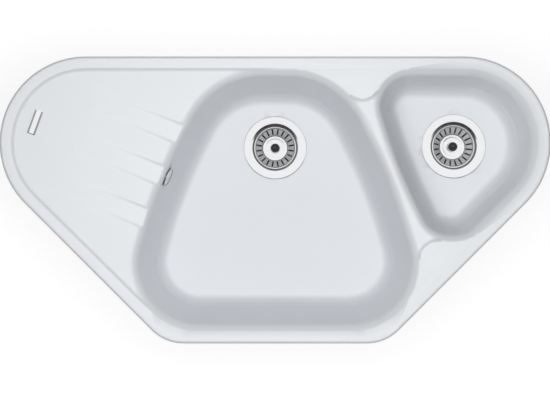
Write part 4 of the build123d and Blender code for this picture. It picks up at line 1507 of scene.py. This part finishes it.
@dataclass
class Clamps:
    """The clamps under the rim: stamped claws that swing on cross-slotted screws."""

    joints: Sequence[Mapping[str, Any]]
    arm_length: float = 31.5
    arm_r: float = 6.5
    sheet: float = 2.5
    hole_r: float = 2.58
    head_top: float = -44.8

    def build(self) -> None:
        """Model one claw and one screw, and set a copy of each in every place."""
        claw = self.model_claw()
        screw = self.model_screw()
        screws = []
        for joint in self.joints:
            body = joint["child"]
            node = f"clamp_{body}"
            pivot = Vector(joint["pos_m"])
            low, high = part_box(node)
            way = (low + high) / 2 - pivot
            place = Matrix.Translation(pivot) @ Matrix.Rotation(math.atan2(way.y, way.x), 4, "Z")
            piece = copied(claw, f"stamped_{body}", place)
            finish_piece(piece, ZINC, body, [node])
            screws.append(copied(screw, "screw", Matrix.Translation((pivot.x, pivot.y, 0))))
        whole = joined(screws, "cross_slotted_screws")
        settle(whole, 35.0)
        finish_piece(whole, ZINC, "sink", ["clamp_screws"])
        for start in (claw, screw):
            bpy.data.objects.remove(start)

    def model_claw(self) -> Piece:
        """Model a claw with its pivot on Z and its top at Z = 0.

        Returns:
            The claw.
        """
        near = rod("claw", self.arm_r, -self.sheet, 0.0, 40)
        far = rod("far", self.arm_r, -self.sheet, 0.0, 40)
        moved(far, Matrix.Translation((self.arm_length * MM, 0, 0)))
        claw = joined([near, far], "claw")
        with editing(claw):
            bpy.ops.mesh.convex_hull()
            bpy.ops.mesh.dissolve_limited(angle_limit=math.radians(1))
        cut_away(claw, rod("hole", self.hole_r, -9.0, 9.0, 40))
        bevel(claw, 0.35, 40.0)
        tip = self.arm_length + self.arm_r - 2.2
        tooth = block("tooth", (self.sheet, 6.5, 5.0), (tip - self.sheet / 2, 0.0, 1.25))
        notch = block("notch", (self.sheet * 2, 2.2, 2.2), (0.0, 0.0, 0.0))
        notch = moved(notch, Matrix.Rotation(math.radians(45), 4, "X"))
        notch = moved(notch, Matrix.Translation(Vector((tip - self.sheet / 2, 0.0, 3.9)) * MM))
        cut_away(tooth, notch)
        bevel(tooth, 0.2)
        whole = joined([claw, tooth], "claw")
        settle(whole, 35.0)
        return whole

    def model_screw(self) -> Piece:
        """Model a screw on Z, head downwards.

        Returns:
            The screw.
        """
        top, foot = self.head_top, self.head_top - 3.5
        shank = [(1.9, -1.0), (2.5, -1.8), (2.5, top)]
        head = [(4.8, top), (4.8, top - 1.4), (4.4, top - 2.5), (3.5, top - 3.2), (2.0, foot), (0.0, foot)]
        screw = turned_solid("screw", [*shank, *head], 40)
        for slot in ring_of(block("slot", (5.2, 1.0, 3.6), (0.0, 0.0, top - 3.4)), (20.0, 110.0)):
            cut_away(screw, slot)
        settle(screw, 35.0)
        return screw


@dataclass
class Badge:
    """A blank plate on the drainer's end: a flat tile whose long sides slope down."""

    centre: Triple = (-418.4, 135.2, 4.1)
    length: float = 43.5
    width: float = 14.6
    height: float = 0.8
    rise: float = 0.6
    slope: float = 3.3
    end_slope: float = 1.2
    turn: float = 70.0

    def build(self) -> None:
        """Make the plate in bright steel, with its long sides in steel darkened as a painted shade."""
        piece = block("badge_plate", (self.length, self.width, self.height), (0.0, 0.0, 0.0))
        narrowed = 1 - 2 * self.slope / self.width
        shortened = 1 - 2 * self.end_slope / self.length
        with editing(piece):
            select_faces(piece, lambda centre, normal: normal.z > 0.9)
            bpy.ops.mesh.extrude_region_move(TRANSFORM_OT_translate={"value": (0, 0, self.rise * MM)})
            bpy.ops.transform.resize(value=(shortened, narrowed, 1))
        bevel(piece, 0.1, 12.0)
        place = Matrix.Translation(Vector(self.centre) * MM) @ turn_about_z(self.turn)
        moved(piece, place)
        settle(piece, 14.0)
        finish_piece(piece, BRIGHT_STEEL, "sink")
        back = place.inverted()

        def on_slope(centre: Vector, normal: Vector) -> bool:
            """Whether a face belongs to a sloping long side."""
            return abs((back @ centre).y) > (self.width / 2 - self.slope) * MM

        # Painted shade: the sloping long sides are darker steel.
        trim(piece, PAINTED_SHADE_STEEL, on_slope)


@dataclass
class Studio:
    """The floor, the lamp, the background, the card that polished steel mirrors, and the camera."""

    camera_height: float = 4300.0
    view_width: float = 958.9
    view_x: float = -0.35
    sensor_width: float = 36.0
    floor_size: float = 24.0
    floor_gap: float = 0.001
    floor_colour: Triple = (0.3, 0.3, 0.3)
    floor_glow: float = 0.81
    floor_fill: float = 0.4
    sky: float = 0.29
    sky_colour: Triple = (0.97, 0.985, 1.0)
    key_power: float = 17.0
    key_size: float = 1.0
    key_height: float = 1.3
    card_distance: float = 8.0
    card_low: float = 34.0
    card_fade: float = 68.0
    card_aside: float = 75.0
    card_dark: float = 0.03

    def build(self, lowest: float) -> None:
        """Set up everything round the object.

        Args:
            lowest: The height of the object's lowest point, in metres.
        """
        self.lay_floor(lowest - self.floor_gap)
        self.light_world()
        self.hang_lamp()
        self.hang_card()
        self.set_camera()
        bpy.context.scene.view_settings.view_transform = "Standard"

    def seen(self, graph: Graph) -> Value:
        """Tell the rays that show the background: straight, or through a reflection or glass.

        Args:
            graph: The graph that asks.

        Returns:
            1 for such a ray, and 0 for any other.
        """
        straight = graph.node("ShaderNodeLightPath", output="Is Camera Ray")
        mirrored = graph.node("ShaderNodeLightPath", output="Is Glossy Ray")
        through = graph.node("ShaderNodeLightPath", output="Is Transmission Ray")
        return straight.largest(mirrored).largest(through)

    def lay_floor(self, height: float) -> None:
        """Lay a pale floor that shows white and keeps the object's shadow.

        Args:
            height: The floor's height, in metres.
        """
        deselect()
        bpy.ops.mesh.primitive_plane_add(size=self.floor_size, location=(0, 0, height))
        floor = bpy.context.object
        floor.name = "studio_floor"
        made, graph = new_material("studio_floor")
        matte = graph.node("ShaderNodeBsdfDiffuse", None, {"Color": rgba(self.floor_colour)})
        shown = self.seen(graph) * (self.floor_glow - self.floor_fill) + self.floor_fill
        glow = graph.node("ShaderNodeEmission", None, {"Strength": shown})
        graph.end(graph.node("ShaderNodeAddShader", None, {0: matte, 1: glow}))
        floor.data.materials.append(made)
        floor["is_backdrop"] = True

    def light_world(self) -> None:
        """A soft sky, which itself shows white."""
        world = bpy.data.worlds.new("studio_sky")
        bpy.context.scene.world = world
        world.use_nodes = True
        graph = Graph(world.node_tree)
        tinted = {"Color": rgba(self.sky_colour), "Strength": self.sky}
        soft = graph.node("ShaderNodeBackground", None, tinted)
        white = graph.node("ShaderNodeBackground", None, {"Color": rgba((1.0, 1.0, 1.0)), "Strength": 1.0})
        mixed = graph.node("ShaderNodeMixShader", None, {0: self.seen(graph), 1: soft, 2: white})
        graph.end(mixed, "ShaderNodeOutputWorld")

    def hang_lamp(self) -> None:
        """One wide soft box straight above, out of the camera's sight."""
        lamp = bpy.data.lights.new("key_soft_box", "AREA")
        lamp.shape = "DISK"
        lamp.size = self.key_size
        lamp.energy = self.key_power
        hung = bpy.data.objects.new("key_soft_box", lamp)
        hung.location = (0.0, 0.0, self.key_height)
        hung.visible_camera = False
        hung.visible_glossy = False
        bpy.context.scene.collection.objects.link(hung)

    def hang_card(self) -> None:
        """A curved dark card before the sink, which shows only in polished steel and fades out upwards."""
        deselect()
        bpy.ops.mesh.primitive_uv_sphere_add(segments=96, ring_count=48, radius=self.card_distance)
        card = bpy.context.object
        card.name = "dark_card"

        def beyond(centre: Vector, normal: Vector) -> bool:
            """Whether a face of the sphere isn't the card's."""
            rise, aside = math.asin(centre.z / centre.length), abs(math.atan2(centre.x, -centre.y))
            return math.degrees(rise) < self.card_low or math.degrees(aside) > self.card_aside

        with editing(card):
            select_faces(card, beyond)
            bpy.ops.mesh.delete(type="FACE")
        for sight in ("camera", "diffuse", "transmission", "volume_scatter", "shadow"):
            setattr(card, f"visible_{sight}", False)
        made, graph = new_material("dark_card")
        way = graph.node("ShaderNodeVectorMath", {"operation": "NORMALIZE"}, {0: graph.place()})
        across, ahead, up = (graph.part(way, axis) for axis in range(3))
        rise = up.between(math.sin(math.radians(self.card_fade)), 1.0) ** 0.5
        widest = math.tan(math.radians(self.card_aside))
        aside = (across / (ahead * -1)).between(0.0, widest).largest((across / ahead).between(0.0, widest))
        light = (rise + aside**3).smallest(1.0) * (1 - self.card_dark) + self.card_dark
        graph.end(graph.node("ShaderNodeEmission", None, {"Strength": light}))
        card.data.materials.append(made)
        card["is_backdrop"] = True

    def set_camera(self) -> None:
        """Look straight down from the photograph's distance."""
        camera = bpy.data.cameras.new("photo_camera")
        camera.sensor_fit = "HORIZONTAL"
        camera.sensor_width = self.sensor_width
        camera.lens = camera.sensor_width * self.camera_height / self.view_width
        camera.clip_end = 50.0
        stand = bpy.data.objects.new("photo_camera", camera)
        stand.location = (self.view_x * MM, 0.0, self.camera_height * MM)
        bpy.context.scene.collection.objects.link(stand)
        bpy.context.scene.camera = stand


def dress_nodes(nodes: Mapping[str, Piece], record: Mapping[str, Any]) -> None:
    """Give each CAD node the finish of its slot.

    Args:
        nodes: The CAD nodes by name.
        record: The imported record.
    """
    for part in record["subparts"]:
        solid = nodes[part["node"]]
        solid.data.materials.clear()
        solid.data.materials.append(NODE_FINISHES[part["material_slot"]].material())


def main() -> None:
    """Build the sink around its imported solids, and set up the studio."""
    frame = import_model()
    cad_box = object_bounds()
    nodes = frame["nodes"]
    dress_nodes(nodes, frame["record"])
    Studio().build(cad_box[0][2])
    Body(nodes).build()
    for bowl in Bowl:
        Strainer(bowl).build()
    Overflow().build()
    Waste(Bowl.MAIN, port_angle=191.82).build()
    Waste(Bowl.SMALL).build()
    build_waste_bolts()
    Clamps([joint for joint in frame["joints"] if joint["child"].startswith("claw")]).build()
    Badge().build()


if __name__ == "__main__":
    logging.basicConfig(level=logging.INFO, format="%(message)s")
    main()
